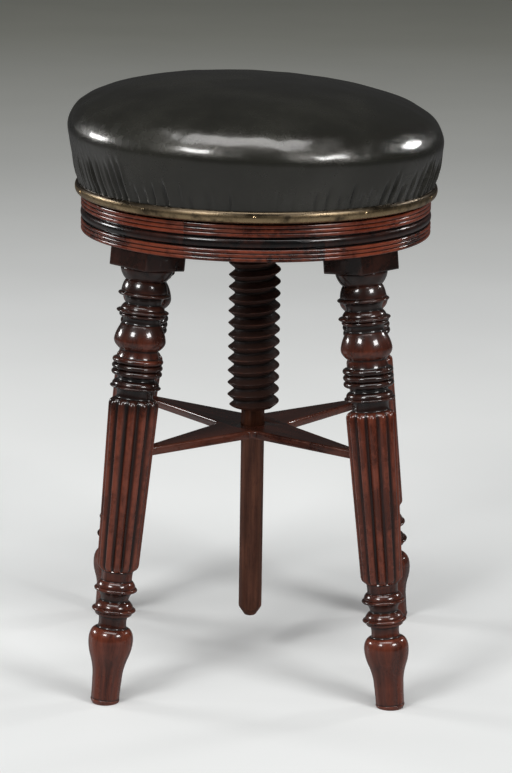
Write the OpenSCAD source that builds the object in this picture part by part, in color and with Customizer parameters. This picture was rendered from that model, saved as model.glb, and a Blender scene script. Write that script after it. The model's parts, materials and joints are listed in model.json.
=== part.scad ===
// A revolving piano stool: a round padded seat on a wooden screw that winds up and
// down in a round reeded base, on four turned and reeded legs tied by a crossed
// stretcher. The origin is on the floor on the screw's axis, +Z is up, and the front
// of the stool faces -Y. Everything is in millimetres, with the seat wound right down.

/* [Base drum] */
// Height of the base's underside above the floor
base_underside = 417; // [380:1:450]
// How far the reeded ring stands in from the seat board's edge
ring_inset = 0.5; // [0:0.5:8]
// Height of the reeded ring
ring_h = 33; // [32:1:40]
// Thickness of the ring's wood from its back to its reeds
ring_t = 12; // [8:0.5:18]
// How deep the reeds stand out of the ring
reed_depth = 2.4; // [1.2:0.1:4]
// Thickness of the board inside the ring
base_board_t = 30; // [26:0.5:31]

/* [Seat] */
// Radius of the seat at its widest
seat_r = 172; // [160:1:190]
// Height of the widest part above the seat board's underside
seat_wide_h = 57; // [48:1:70]
// Height of the crown above the widest part
crown_h = 50; // [30:1:70]
// Thickness of the seat board
seat_board_t = 18; // [14:1:24]
// How far the padding stands out of the seat board's edge
seat_overhang = 10; // [7:0.5:14]
// Thickness of the leather
leather_t = 1.4; // [1:0.1:2]
// Height of the gathers of the leather where they are fullest
gather_h = 1.3; // [0.4:0.1:2]
// Number of gathers round the seat
gathers = 52; // [40:2:56]
// Thickness of the wadding under the leather
wadding_t = 7; // [3:0.5:12]
// Height of the brass bead round the seat board
bead_h = 10; // [8:0.2:12]
// How far the brass bead stands out of the leather
bead_t = 3.1; // [2.4:0.1:5]
// Wall of the hollow brass bead over its tacks
bead_wall = 1.3; // [1:0.1:1.6]
// Number of brass pins in the bead
bead_pins = 10; // [6:1:14]
// Diameter of a brass pin's domed head
pin_head_d = 3.6; // [2.4:0.1:4.4]
// Diameter of a brass pin's shank
pin_d = 1.6; // [1.2:0.1:2]
// Diameter of a tack's flat head under the bead
tack_head_d = 5; // [3.4:0.1:6]
// Diameter of a tack's shank
tack_d = 1.4; // [1:0.1:1.8]
// Length of the pins and tacks in the seat board's edge
nail_l = 11; // [8:0.5:16]

/* [Screw] */
// Diameter over the thread's crests
thread_d = 48.4; // [46:0.1:51]
// Depth of the thread
thread_depth = 5.6; // [5:0.1:5.8]
// Rise of the thread in one turn
pitch = 11.4; // [11.2:0.1:13]
// Height of the thread's lower end above the floor
thread_end = 248; // [240:1:270]
// Diameter of the plain guide shaft under the thread
shaft_d = 21.8; // [18:0.1:26]
// Height of the guide shaft's lower end above the floor
shaft_end = 43; // [30:1:60]
// Height of the long chamfer at the shaft's lower end
shaft_chamfer = 8; // [4:0.5:10]
// Diameter of the shaft's lower end, under its chamfer
shaft_tip_d = 11.2; // [8:0.1:17]
// Diameter of the flange at the screw's head
flange_d = 86; // [78:1:100]
// Thickness of the flange
flange_t = 8; // [6:0.5:10]
// Thickness of the leather washer on the screw's neck
washer_t = 4.5; // [4:0.1:6]
// Diameter of the leather washer
washer_d = 78; // [66:1:82]
// Diameter of the threaded nut where it fills the base board
nut_d = 84; // [76:1:92]
// Diameter of the nut's flange under the base board
nut_flange_d = 114; // [106:1:122]
// Thickness of the nut's flange
nut_flange_t = 8; // [6:0.5:12]
// Diameter of a wood screw's head
wood_screw_head_d = 8; // [7:0.1:9]
// Diameter of a wood screw's shank
wood_screw_d = 4; // [3:0.1:4.6]
// Length of a wood screw
wood_screw_l = 16; // [12.6:0.1:16.4]

/* [Legs] */
// Distance of a leg's axis at its top from the ring's outside
leg_inset = 28.5; // [25:0.5:32]
// How far a foot stands out in X and in Y from the leg's top
foot_splay = 36.5; // [28:0.5:44]
// How far a rear foot stands out in X from the leg's top
rear_foot_splay = 50; // [36:0.5:56]
// Side of the square block at a leg's top
block_side = 48; // [44:0.5:52]
// Height of the block under the base
block_h = 19.5; // [16:0.5:26]
// Height of the upper turnings, from the block to the reeds
upper_turn_h = 125.5; // [112:0.5:130]
// How much higher the front left leg's turnings and reeds stand than the others'
front_left_rise = 7.5; // [0:0.5:9]
// Length of the reeded part
reeded_h = 159; // [140:1:170]
// Diameter of the turnings at their largest ring
turn_d = 47; // [44:0.5:50]
// Diameter over the reeds at the top
reeds_top_d = 45.4; // [43:0.1:48]
// Diameter over the reeds at the bottom
reeds_end_d = 37.8; // [36:0.1:42]
// Number of reeds round a leg
leg_reeds = 12; // [8:1:12]
// Depth of the groove between two reeds
groove_depth = 3.4; // [2:0.1:3.6]
// Length over which the reeds round off at each end
reed_round = 6; // [3:0.5:9]
// Diameter of the tenon at a leg's top
tenon_d = 28; // [22:0.5:32]
// Width of the saw kerf and wedge in the tenon
wedge_t = 2.6; // [1.6:0.1:4]
// Depth of the wedge in the tenon
wedge_h = 20; // [12:0.5:24]

/* [Stretcher] */
// Height of the stretcher's top above the floor
stretcher_top = 232; // [222:1:240]
// Thickness of the stretcher
stretcher_t = 8; // [8:0.5:12]
// Width of a stretcher arm at the leg
arm_end_w = 9.4; // [8.5:0.1:14]
// Width of a stretcher bar at the screw's axis
arm_hub_w = 50.5; // [40:0.5:54]
// Diameter of the round tenon at an arm's end
arm_tenon_d = 6.4; // [5:0.1:7]
// Length of the round tenon in the leg
arm_tenon_l = 13; // [8:0.5:14]
// Radius of the fillet between two arms
arm_fillet = 8; // [4:0.5:12]

/* [Hidden] */
$fn = 96;
// Facets of a large round hollow in a thin wall
fine_fn = 360;
// Overrun of a cut past the face it opens
over = 1;
// Clearance of the running fits between moving wooden pieces
run_gap = 0.3;
// Thickness of a glue line or of a snug fit within one assembly
glue_gap = 0.1;
// Clearance between the layers of the padding
layer_gap = 0.2;
// Radial and axial clearance of the thread in its nut
thread_gap_r = 0.45;
thread_gap_z = 0.3;

// Heights worked out upwards from the base
base_top = base_underside + base_board_t;
seat_under = base_top + washer_t;
board_top = seat_under + seat_board_t;
wide_z = seat_under + seat_wide_h;
seat_board_r = seat_r - seat_overhang;
ring_r = seat_board_r - ring_inset;
board_ring_r = ring_r - ring_t;
// Segments glued up into the ring, each a node of its own
ring_segments = 8;

// Brass bead: it is centred low on the seat board's edge, over the leather
bead_lift = leather_t / 2;
bead_z = seat_under + bead_lift + bead_h / 2;
bead_back_r = seat_board_r + glue_gap + leather_t + layer_gap;
bead_out_r = bead_back_r + bead_t;
tack_head_t = (bead_t - bead_wall) / 3;
channel_h = tack_head_d + 2 * layer_gap;

// Thread: the ridge is worked out in steps round the turn
root_r = thread_d / 2 - thread_depth;
turn_steps = 24;
// Places across one pitch of the ridge's lower foot, crest edges and upper foot
ridge_shares = [0, 0.412, 0.482, 0.895];
neck_l = washer_t + run_gap;
thread_top = seat_under - neck_l;
ridge_margin = pitch / 20;
ridge_steps = floor((thread_top - thread_end - 2 * ridge_margin - ridge_shares[3] * pitch)
                    / pitch * turn_steps);
fade_steps = 4;

// Turned outlines: each row is one moulding, as shares of the height it takes and of
// the largest radius at its upper end, at its middle and at its lower end. A row is half
// an ellipse, unless it names another curve: flowing runs on into its neighbours, and
// shoulder starts level and ends upright
flowing = 1;
shoulder = 2;
upper_turning_shares = [
    [0.094, 0.970, 0.935, 0.740], [0.092, 0.740, 0.855, 0.865], [0.030, 0.865, 0.995, 0.830],
    [0.061, 0.830, 0.710, 0.700], [0.041, 0.700, 0.810, 0.830], [0.031, 0.830, 1.000, 0.800],
    [0.030, 0.785, 0.885, 0.765], [0.052, 0.765, 0.705, 0.755],
    [0.113, 0.755, 0.905, 0.985, flowing], [0.084, 0.985, 0.947, 0.745, flowing],
    [0.060, 0.745, 0.765, 0.820], [0.047, 0.825, 0.975, 0.815], [0.047, 0.815, 0.975, 0.815],
    [0.047, 0.815, 0.975, 0.810], [0.036, 0.800, 0.715, 0.780], [0.039, 0.780, 0.890, 0.875],
    [0.024, 0.875, 0.975, 0.810], [0.074, 0.745, 0.695, 0.725]];
lower_turning_shares = [
    [0.075, 0.620, 0.595, 0.605], [0.049, 0.605, 0.725, 0.730], [0.031, 0.730, 0.835, 0.700],
    [0.070, 0.700, 0.565, 0.555], [0.049, 0.555, 0.700, 0.725], [0.031, 0.725, 0.850, 0.710],
    [0.026, 0.710, 0.720, 0.670], [0.095, 0.605, 0.535, 0.595],
    [0.090, 0.595, 0.800, 0.865, shoulder], [0.128, 0.865, 0.834, 0.740, flowing],
    [0.170, 0.740, 0.616, 0.575, flowing], [0.145, 0.575, 0.557, 0.550, flowing],
    [0.045, 0.550, 0.530, 0.420]];
// The base ring: the same rows, with places across the depth of the reeds
ring_reed_shares = [
    [0.115, 0.35, 0.85, 0.25], [0.115, 0.25, 0.85, 0.25], [0.115, 0.25, 0.85, 0.10],
    [0.042, 0.05, -0.35, 0.05], [0.240, 0.10, 1.00, 0.10], [0.038, 0.05, -0.35, 0.05],
    [0.112, 0.20, 0.90, 0.25], [0.112, 0.25, 0.90, 0.25], [0.111, 0.25, 0.90, 0.35]];
moulding_steps = 6;
// Points on each reed of a leg, how sharply its sides fall into the grooves, and the
// places of its sections where it rounds off
reed_steps = 6;
groove_power = 3.2;
reed_round_shares = [0, 0.1, 0.4, 1];

// Legs: their tops and feet, in the order front left, front right, rear left, rear right
leg_sides = [[-1, -1], [1, -1], [-1, 1], [1, 1]];
// Pairs of neighbouring legs, each in the order of their angles
corner_pairs = [[0, 1], [1, 3], [3, 2], [2, 0]];
neck_end_share = 0.9;
leg_top_reach = (ring_r - leg_inset) / sqrt(2);
foot_reach = leg_top_reach + foot_splay;
function foot_x(i) = leg_top_reach + (leg_sides[i][1] < 0 ? foot_splay : rear_foot_splay);
function leg_top(i) = [leg_sides[i][0] * leg_top_reach, leg_sides[i][1] * leg_top_reach,
                       base_underside];
function leg_foot(i) = [leg_sides[i][0] * foot_x(i), leg_sides[i][1] * foot_reach, 0];
function leg_at(i, z) = leg_foot(i) + (leg_top(i) - leg_foot(i)) * z / base_underside;
function leg_lean(i) = leg_foot(i) - leg_top(i);
function lean_angle(i) = atan2(norm([leg_lean(i)[0], leg_lean(i)[1]]), base_underside);
function lean_way(i) = atan2(leg_lean(i)[1], leg_lean(i)[0]);
function block_way(i) = atan2(leg_sides[i][1], leg_sides[i][0]);
function turn_h(i) = upper_turn_h - (i == 0 ? front_left_rise : 0);
function reeds_top(i) = block_h + turn_h(i);
function reeds_end(i) = reeds_top(i) + reeded_h;
foot_trim = turn_d / 20;

// Padding outline: heights and radii of its rings, taken in by d all over
side_rise_shares = [0.14, 0.40, 0.68];
crown_reach_shares = [0.985, 0.93, 0.82, 0.62, 0.32];
gather_shares = [1, 0.85, 0.4];
crown_power = 1.8;
crown_root = 1 / 2.1;
bead_top = bead_z + bead_h / 2;
leather_end = seat_under + bead_lift;
leather_low_r = seat_board_r + glue_gap + leather_t;
function side_r(s) = leather_low_r + (seat_r - leather_low_r) * (1 - pow(1 - s, 2));
function side_z(s) = bead_top + (wide_z - bead_top) * s;
function crown_z(s, d) = wide_z + (crown_h - d) * pow(1 - pow(s, crown_power), crown_root);
function pad_side(d) = [for (s = side_rise_shares) [side_r(s) - d, side_z(s)],
                        [seat_r - d, wide_z]];
function pad_crown(d) = [for (s = crown_reach_shares) [(seat_r - d) * s, crown_z(s, d)],
                         [0, crown_z(0, d)]];
function taken_in(d, low_z) = [[0, low_z], [side_r(0) - d, low_z], each pad_side(d),
                               each pad_crown(d)];
// How deep each layer lies under the outside of the leather
wadding_in = leather_t + layer_gap;
hair_in = wadding_in + wadding_t + layer_gap;

// Stretcher: its arms reach to the leg that each points at
stretcher_z = stretcher_top - stretcher_t / 2;
arm_gap = run_gap;
fillet_flats = 4;
function arm_end_at(i) = leg_at(i, stretcher_z);
function arm_way(i) = atan2(arm_end_at(i)[1], arm_end_at(i)[0]);
function arm_reach(i) = norm([arm_end_at(i)[0], arm_end_at(i)[1]]);
function reeds_r(i, z) = (reeds_top_d + (reeds_end_d - reeds_top_d)
                          * (base_underside - z - reeds_top(i)) / reeded_h) / 2;
function arm_l(i) = arm_reach(i) - reeds_r(i, stretcher_z) / cos(lean_angle(i)) - arm_gap
                    - stretcher_t / 2 * tan(lean_angle(i));
hub_bore_r = shaft_d / 2 + run_gap;

// One moulding row: a curve laid on the line between its two ends. Each place on it is
// the share of the row's height and the radius, as a share, at step k
function bulge(row) = row[2] - (row[1] + row[3]) / 2;
function half_ellipse_at(row, a) =
    let (t = (1 - cos(a)) / 2) [t, row[1] + (row[3] - row[1]) * t + bulge(row) * sin(a)];
function flowing_at(row, t) = [t, row[1] + (row[3] - row[1]) * t + 4 * bulge(row) * t * (1 - t)];
function shoulder_at(row, a) = [1 - cos(a), row[1] + (row[3] - row[1]) * sin(a)];
function row_at(row, s) = row[4] == flowing ? flowing_at(row, s)
    : row[4] == shoulder ? shoulder_at(row, 90 * s) : half_ellipse_at(row, 180 * s);
function moulding(row, top, h, depth, inner) =
    [for (k = [0:moulding_steps - 1]) let (p = row_at(row, k / moulding_steps))
        [inner + depth * p[1], top - row[0] * h * p[0]]];
// Height taken by the rows before row k, and by all of them
function taken(rows, k) = k == 0 ? 0 : rows[k - 1][0] + taken(rows, k - 1);
// A whole outline from its top at z = 0 down to z = -h
function outline(rows, h, depth, inner) =
    let (all_rows = taken(rows, len(rows)))
    [for (k = [0:len(rows) - 1])
        each moulding(rows[k], -taken(rows, k) / all_rows * h, h / all_rows, depth, inner),
     [inner + depth * rows[len(rows) - 1][3], -h]];

// A turned solid whose outline is given by its rows
module turned(rows, h, r) {
    rotate_extrude() polygon([[0, 0], each outline(rows, h, r, 0), [0, -h]]);
}

// The outline of one section through the reeds, grown from a round neck by the share e
function reed_point(k, r, neck_r, e) =
    let (a = 360 / leg_reeds * k / reed_steps,
         full = r - groove_depth * pow(abs(cos(180 * k / reed_steps)), groove_power),
         q = neck_r + (full - neck_r) * e)
    [q * cos(a), q * sin(a)];

// The reeded part of a leg, from z = 0 down, with each reed rounded off at both ends
module reeded_shaft() {
    n = leg_reeds * reed_steps;
    neck_top = turn_d / 2 * upper_turning_shares[len(upper_turning_shares) - 1][3] * neck_end_share;
    neck_low = turn_d / 2 * lower_turning_shares[0][1] * neck_end_share;
    top_rings = [for (s = reed_round_shares) [-s * reed_round, neck_top, sqrt(1 - pow(1 - s, 2))]];
    low_rings = [for (k = [len(reed_round_shares) - 1:-1:0]) let (s = reed_round_shares[k])
                 [s * reed_round - reeded_h, neck_low, sqrt(1 - pow(1 - s, 2))]];
    rings = concat(top_rings, low_rings);
    last = len(rings) - 1;
    points = [for (g = rings, k = [0:n - 1])
              let (r = (reeds_top_d + (reeds_end_d - reeds_top_d) * -g[0] / reeded_h) / 2,
                   p = reed_point(k, r, g[1], g[2])) [p[0], p[1], g[0]]];
    walls = [for (g = [0:last - 1], k = [0:n - 1])
             let (a = g * n + k, b = g * n + (k + 1) % n)
             each [[a, b, b + n], [a, b + n, a + n]]];
    polyhedron(points, concat([[for (k = [n - 1:-1:0]) k]], walls,
                              [[for (k = [0:n - 1]) last * n + k]]));
}

// Places a leg's own axis, which runs down from z = 0, on leg i
module on_leg(i) {
    translate(leg_top(i)) rotate([0, -lean_angle(i), lean_way(i)])
        rotate([0, 0, block_way(i) - lean_way(i)]) children();
}

module leg(i) {
    lower_h = norm(leg_lean(i)) - reeds_end(i) + foot_trim;
    room = 2 * (block_side + wedge_h);
    color([0.25, 0.07, 0.04]) {
        difference() {
            union() {
                on_leg(i) translate([-block_side / 2, -block_side / 2, -block_h])
                    cube([block_side, block_side, block_h + block_side / 2]);
                on_leg(i) translate([0, 0, -block_h])
                    turned(upper_turning_shares, turn_h(i), turn_d / 2);
                on_leg(i) translate([0, 0, -reeds_top(i)]) reeded_shaft();
                on_leg(i) translate([0, 0, -reeds_end(i)])
                    turned(lower_turning_shares, lower_h, turn_d / 2);
                intersection() {
                    on_leg(i) translate([0, 0, -block_h / 2])
                        cylinder(d = tenon_d, h = block_h + base_board_t + tenon_d);
                    translate([leg_top(i)[0] - room / 2, leg_top(i)[1] - room / 2,
                               base_underside - block_h])
                        cube([room, room, block_h + base_board_t]);
                }
            }
            block_trim(i, room);
            translate([leg_foot(i)[0] - room / 2, leg_foot(i)[1] - room / 2, -room])
                cube([room, room, room]);
            wedge_place(i) kerf(glue_gap);
            arm_tenon(i, glue_gap);
        }
    }
}

// Takes the block off level with the base's underside and leaves the tenon standing
module block_trim(i, room) {
    difference() {
        translate([leg_top(i)[0] - room / 2, leg_top(i)[1] - room / 2, base_underside])
            cube([room, room, room]);
        on_leg(i) translate([0, 0, -block_h]) cylinder(d = tenon_d, h = 2 * room);
    }
}

// The place of the wedge at the top of a tenon
module wedge_place(i) {
    translate(leg_at(i, base_top)) rotate([0, -lean_angle(i), lean_way(i)])
        rotate([0, 0, block_way(i) - lean_way(i)]) children();
}

// The wedge's tapered outline across the tenon, from its top down
module kerf(gap) {
    half = wedge_t / 2;
    rotate([90, 0, 0]) linear_extrude(height = tenon_d + 2 * over, center = true)
        polygon([[-half - gap, wedge_t], [-half - gap, 0], [-half / 2 - gap, -wedge_h - gap],
                 [half / 2 + gap, -wedge_h - gap], [half + gap, 0], [half + gap, wedge_t]]);
}

// The wedge that spreads the tenon of leg i, flush with the base board's top
module tenon_wedge(i) {
    intersection() {
        wedge_place(i) kerf(0);
        on_leg(i) cylinder(d = tenon_d, h = 2 * base_board_t);
        translate([leg_top(i)[0] - tenon_d, leg_top(i)[1] - tenon_d, base_underside])
            cube([2 * tenon_d, 2 * tenon_d, base_board_t]);
    }
}

module tenon_wedges() {
    color([0.45, 0.2, 0.1]) for (i = [0:3]) tenon_wedge(i);
}

// One glued segment of the reeded ring; the first is at the front
module frieze_segment(k) {
    span = 360 / ring_segments;
    color([0.42, 0.12, 0.06]) translate([0, 0, base_underside + ring_h])
        rotate([0, 0, 270 + span * (k - 1) - span / 2])
        rotate_extrude(angle = span)
            polygon([[board_ring_r, 0], each outline(ring_reed_shares, ring_h, reed_depth,
                                                     ring_r - reed_depth),
                     [board_ring_r, -ring_h]]);
}

module base_board() {
    color([0.35, 0.13, 0.07]) difference() {
        translate([0, 0, base_underside]) cylinder(r = board_ring_r, h = base_board_t);
        translate([0, 0, base_underside - over])
            cylinder(d = nut_d + 2 * glue_gap, h = base_board_t + 2 * over);
        for (i = [0:3]) on_leg(i) translate([0, 0, -base_board_t])
            cylinder(d = tenon_d + 2 * glue_gap, h = 3 * base_board_t);
        nut_screw_places() wood_screw(glue_gap);
    }
}

// A countersunk wood screw, from the underside of what it holds upwards
module wood_screw(gap) {
    head_r = wood_screw_head_d / 2;
    shank_r = wood_screw_d / 2;
    rotate_extrude($fn = 32)
        polygon([[0, -gap], [head_r + gap, -gap], [head_r + gap, 0],
                 [shank_r + gap, head_r - shank_r], [shank_r + gap, wood_screw_l - shank_r],
                 [0, wood_screw_l + gap]]);
}

// The four screws that hold the nut's flange under the base board
module nut_screw_places() {
    for (a = [45:90:315]) rotate([0, 0, a])
        translate([(nut_d + nut_flange_d) / 4, 0, base_underside - nut_flange_t]) children();
}

module nut_screws() {
    color([0.3, 0.3, 0.32]) nut_screw_places() wood_screw(0);
}

// The four screws that hold the screw's flange in the seat board
module flange_screw_places() {
    for (a = [0:90:270]) rotate([0, 0, a])
        translate([(flange_d / 2 + root_r) / 2, 0, seat_under]) children();
}

module screw_head_screws() {
    color([0.3, 0.3, 0.32]) flange_screw_places() wood_screw(0);
}

// A rod with one helical ridge, from z_low to z_high. The ridge starts at step first
// of the helix and runs for steps; grow is the radial and wide the axial growth that
// turns it into the tool that cuts a nut; its ends fade in and out.
module ridged_rod(first, steps, z_low, z_high, grow, wide) {
    s = turn_steps;
    rr = root_r + grow;
    function way(j) = 360 * (first + j) / s;
    function ring_point(r, j, z) = [r * cos(way(j)), r * sin(way(j)), z];
    function fade(j) = min(1, (j + 1) / fade_steps, (steps - j + 1) / fade_steps);
    function helix_z(j) = thread_end + ridge_margin + pitch * (first + j) / s;
    function ridge_z(j, k) = helix_z(j) + ridge_shares[k] * pitch + (k < 2 ? -wide : wide);
    function crest(j) = rr + thread_depth * fade(j);
    ridge = [for (j = [0:steps]) each [
        ring_point(rr, j, ridge_z(j, 0)), ring_point(crest(j), j, ridge_z(j, 1)),
        ring_point(crest(j), j, ridge_z(j, 2)), ring_point(rr, j, ridge_z(j, 3))]];
    low = [for (j = [0:s - 1]) ring_point(rr, j, z_low)];
    high = [for (j = [0:s - 1]) ring_point(rr, j, z_high)];
    function p(j, k) = 4 * j + k;
    function c(j) = 4 * (steps + 1) + j % s;
    function d(j) = 4 * (steps + 1) + s + j % s;
    flanks = [for (j = [0:steps - 1], k = [0:2]) each [
        [p(j, k), p(j, k + 1), p(j + 1, k + 1)], [p(j, k), p(j + 1, k + 1), p(j + 1, k)]]];
    roots = [for (j = [0:steps - s - 1]) each [
        [p(j, 3), p(j + s, 0), p(j + s + 1, 0)], [p(j, 3), p(j + s + 1, 0), p(j + 1, 3)]]];
    low_wall = [for (j = [0:s - 2]) each [
        [c(j), p(j, 0), p(j + 1, 0)], [c(j), p(j + 1, 0), c(j + 1)]]];
    high_wall = [for (j = [steps - s + 1:steps - 1]) each [
        [p(j, 3), d(j), d(j + 1)], [p(j, 3), d(j + 1), p(j + 1, 3)]]];
    low_seam = [[p(s - 1, 0), p(s, 0), p(0, 3)], [p(s - 1, 0), p(0, 3), p(0, 0)],
                [p(s - 1, 0), p(0, 0), c(0)], [p(s - 1, 0), c(0), c(s - 1)]];
    e = steps - s;
    high_seam = [[p(e + 1, 3), p(e, 3), p(steps, 0)], [p(e + 1, 3), p(steps, 0), p(steps, 3)],
                 [p(e + 1, 3), p(steps, 3), d(e)], [p(e + 1, 3), d(e), d(e + 1)]];
    ends = [[p(0, 3), p(0, 2), p(0, 1), p(0, 0)],
            [p(steps, 0), p(steps, 1), p(steps, 2), p(steps, 3)],
            [for (j = [0:s - 1]) c(j)], [for (j = [s - 1:-1:0]) d(j)]];
    polyhedron(concat(ridge, low, high),
               concat(flanks, roots, low_wall, high_wall, low_seam, high_seam, ends));
}

module screw() {
    color([0.14, 0.05, 0.03]) difference() {
        union() {
            translate([0, 0, seat_under]) cylinder(d = flange_d, h = flange_t);
            translate([0, 0, thread_top]) cylinder(r = root_r, h = neck_l);
            ridged_rod(0, ridge_steps, thread_end, thread_top, 0, 0);
            translate([0, 0, shaft_end + shaft_chamfer])
                cylinder(d = shaft_d, h = thread_end - shaft_end - shaft_chamfer);
            translate([0, 0, shaft_end])
                cylinder(d1 = shaft_tip_d, d2 = shaft_d, h = shaft_chamfer);
        }
        flange_screw_places() wood_screw(glue_gap);
    }
}

module screw_nut() {
    low = base_underside - nut_flange_t;
    lead = ceil((low - thread_end) / pitch - 2) * turn_steps;
    tap_steps = ceil((base_top - low) / pitch + 3) * turn_steps;
    color([0.22, 0.08, 0.05]) difference() {
        union() {
            translate([0, 0, low]) cylinder(d = nut_flange_d, h = nut_flange_t);
            translate([0, 0, low]) cylinder(d = nut_d, h = base_top - low);
        }
        ridged_rod(lead, tap_steps, low - 2 * pitch, base_top + 2 * pitch,
                   thread_gap_r, thread_gap_z);
        nut_screw_places() wood_screw(glue_gap);
    }
}

// A leather washer, loose on the screw's neck between its flange and its thread
module stop_washer() {
    color([0.45, 0.3, 0.17]) translate([0, 0, base_top]) difference() {
        cylinder(d = washer_d, h = washer_t);
        translate([0, 0, -over]) cylinder(r = root_r + run_gap, h = washer_t + 2 * over);
    }
}

// Places what is pinned round the seat board's edge, with +X pointing outwards
module round_edge(count, offset_share) {
    for (k = [0:count - 1]) rotate([0, 0, 270 + 360 / count * (k + offset_share)])
        translate([seat_board_r, 0, bead_z]) rotate([0, 90, 0]) children();
}

// A nail's shank from the board outwards, with gap round it
module nail_shank(d, out, gap) {
    translate([0, 0, -nail_l - gap]) cylinder(d = d + 2 * gap, h = nail_l + out + gap, $fn = 24);
}

module beading_pins() {
    out = bead_out_r - seat_board_r;
    color([0.85, 0.68, 0.35]) round_edge(bead_pins, 0) {
        nail_shank(pin_d, out, 0);
        translate([0, 0, out]) rotate_extrude($fn = 32)
            polygon([[0, 0], [pin_head_d / 2, 0],
                     for (a = [30:30:90]) [pin_head_d / 2 * cos(a), pin_head_d / 5 * sin(a)]]);
    }
}

module leather_tacks() {
    back = leather_low_r - seat_board_r;
    color([0.2, 0.2, 0.22]) round_edge(bead_pins, 0.5) {
        nail_shank(tack_d, back, 0);
        translate([0, 0, back]) cylinder(d = tack_head_d, h = tack_head_t, $fn = 32);
    }
}

// What the pins and tacks pass through
module nail_holes(gap) {
    round_edge(bead_pins, 0) nail_shank(pin_d, bead_out_r - seat_board_r + over, gap);
    round_edge(bead_pins, 0.5) nail_shank(tack_d, leather_t + 2 * glue_gap, gap);
}

// The hollow half-round brass bead over the leather's edge
module brass_beading() {
    h = bead_h / 2;
    color([0.8, 0.62, 0.3]) difference() {
        translate([0, 0, bead_z]) rotate_extrude() polygon([
            [bead_back_r, -h], for (a = [-90:15:90]) [bead_back_r + bead_t * cos(a), h * sin(a)],
            [bead_back_r, h], [bead_back_r, channel_h / 2],
            [bead_back_r + bead_t - bead_wall, channel_h / 2],
            [bead_back_r + bead_t - bead_wall, -channel_h / 2], [bead_back_r, -channel_h / 2]]);
        round_edge(bead_pins, 0) nail_shank(pin_d, bead_out_r - seat_board_r + over, glue_gap);
    }
}

module seat_board() {
    color([0.4, 0.22, 0.12]) difference() {
        translate([0, 0, seat_under]) cylinder(r = seat_board_r, h = seat_board_t);
        translate([0, 0, seat_under - over])
            cylinder(d = flange_d + 2 * glue_gap, h = flange_t + over);
        flange_screw_places() wood_screw(glue_gap);
        nail_holes(glue_gap);
    }
}

// The stuffing on the seat board
module horsehair_stuffing() {
    color([0.2, 0.17, 0.14]) intersection() {
        rotate_extrude() polygon(taken_in(hair_in, bead_z));
        translate([0, 0, board_top]) cylinder(r = seat_r, h = seat_wide_h + crown_h);
    }
}

// The cotton wadding between the stuffing and the leather
module wadding_layer() {
    color([0.85, 0.83, 0.78]) intersection() {
        difference() {
            rotate_extrude() polygon(taken_in(wadding_in, bead_z));
            rotate_extrude() polygon(taken_in(hair_in - layer_gap, bead_z - over));
        }
        translate([0, 0, board_top]) cylinder(r = seat_r, h = seat_wide_h + crown_h);
    }
}

// The leather: flat under the bead, gathered above it and smooth over the crown
module leather_cover() {
    n = 2 * gathers;
    flat_rings = [[leather_low_r, leather_end, 0], [leather_low_r, bead_top, 0]];
    side = pad_side(0);
    side_rings = [for (k = [0:len(side) - 1]) [side[k][0], side[k][1],
                  k < len(gather_shares) ? gather_h * gather_shares[k] : 0]];
    crown = pad_crown(0);
    crown_rings = [for (k = [0:len(crown) - 2]) [crown[k][0], crown[k][1], 0]];
    rings = concat(flat_rings, side_rings, crown_rings);
    last = len(rings) - 1;
    points = [for (g = rings, k = [0:n - 1]) let (r = g[0] + g[2] * (k % 2), a = 360 * k / n)
              [r * cos(a), r * sin(a), g[1]], [0, 0, crown[len(crown) - 1][1]]];
    walls = [for (g = [0:last - 1], k = [0:n - 1]) let (a = g * n + k, b = g * n + (k + 1) % n)
             each [[a, a + n, b + n], [a, b + n, b]]];
    tip = [for (k = [0:n - 1]) [last * n + k, (last + 1) * n, last * n + (k + 1) % n]];
    color([0.09, 0.09, 0.1]) difference() {
        polyhedron(points, concat([[for (k = [0:n - 1]) k]], walls, tip));
        rotate_extrude($fn = fine_fn) polygon([
            [0, leather_end - over], [leather_low_r - leather_t, leather_end - over],
            [leather_low_r - leather_t, bead_top], each pad_side(leather_t),
            each pad_crown(leather_t)]);
        nail_holes(glue_gap);
    }
}

// The end of the arm towards leg i, seen from above, and its corner on one side
function arm_tip(i) = arm_l(i) * [cos(arm_way(i)), sin(arm_way(i))];
function arm_edge(i, side) = arm_tip(i) + side * arm_end_w / 2 * [-sin(arm_way(i)), cos(arm_way(i))];

// The corner between arm i and arm j, the next one round: half the angle between the
// two arms, how far their edges run in, and the corner's distance from the screw's axis
function corner_half(i, j) = ((arm_way(j) - arm_way(i) + 360) % 360) / 2;
function arm_taper(i, j) = atan2(arm_hub_w - arm_end_w, arm_l(i) + arm_l(j));
function corner_at(i, j) = arm_hub_w / 2
    / (sin(corner_half(i, j)) + cos(corner_half(i, j)) * tan(arm_taper(i, j)));

// The fillet in the corner between arm i and arm j, in short flats that run on into the arms
module arm_corner(i, j) {
    half = corner_half(i, j) + arm_taper(i, j);
    deep = arm_fillet / sin(half);
    flat_turn = (180 - 2 * half) / fillet_flats;
    arc = [for (k = [0:fillet_flats - 1]) let (a = 90 + half + flat_turn * (k + 0.5))
           [deep + arm_fillet * cos(a), arm_fillet * sin(a)]];
    last = fillet_flats - 1;
    rotate([0, 0, arm_way(i) + corner_half(i, j)]) translate([corner_at(i, j), 0])
        polygon([[-deep, 0], 2 * arc[0] - arc[1], each arc, 2 * arc[last] - arc[last - 1]]);
}

// The outline of the bar that joins legs i and j through the hub
module bar_outline(i, j) {
    line = arm_tip(i) - arm_tip(j);
    across = arm_hub_w / 2 * [-line[1], line[0]] / norm(line);
    polygon([arm_edge(i, -1), arm_edge(i, 1), across, arm_edge(j, -1), arm_edge(j, 1), -across]);
}

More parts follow.
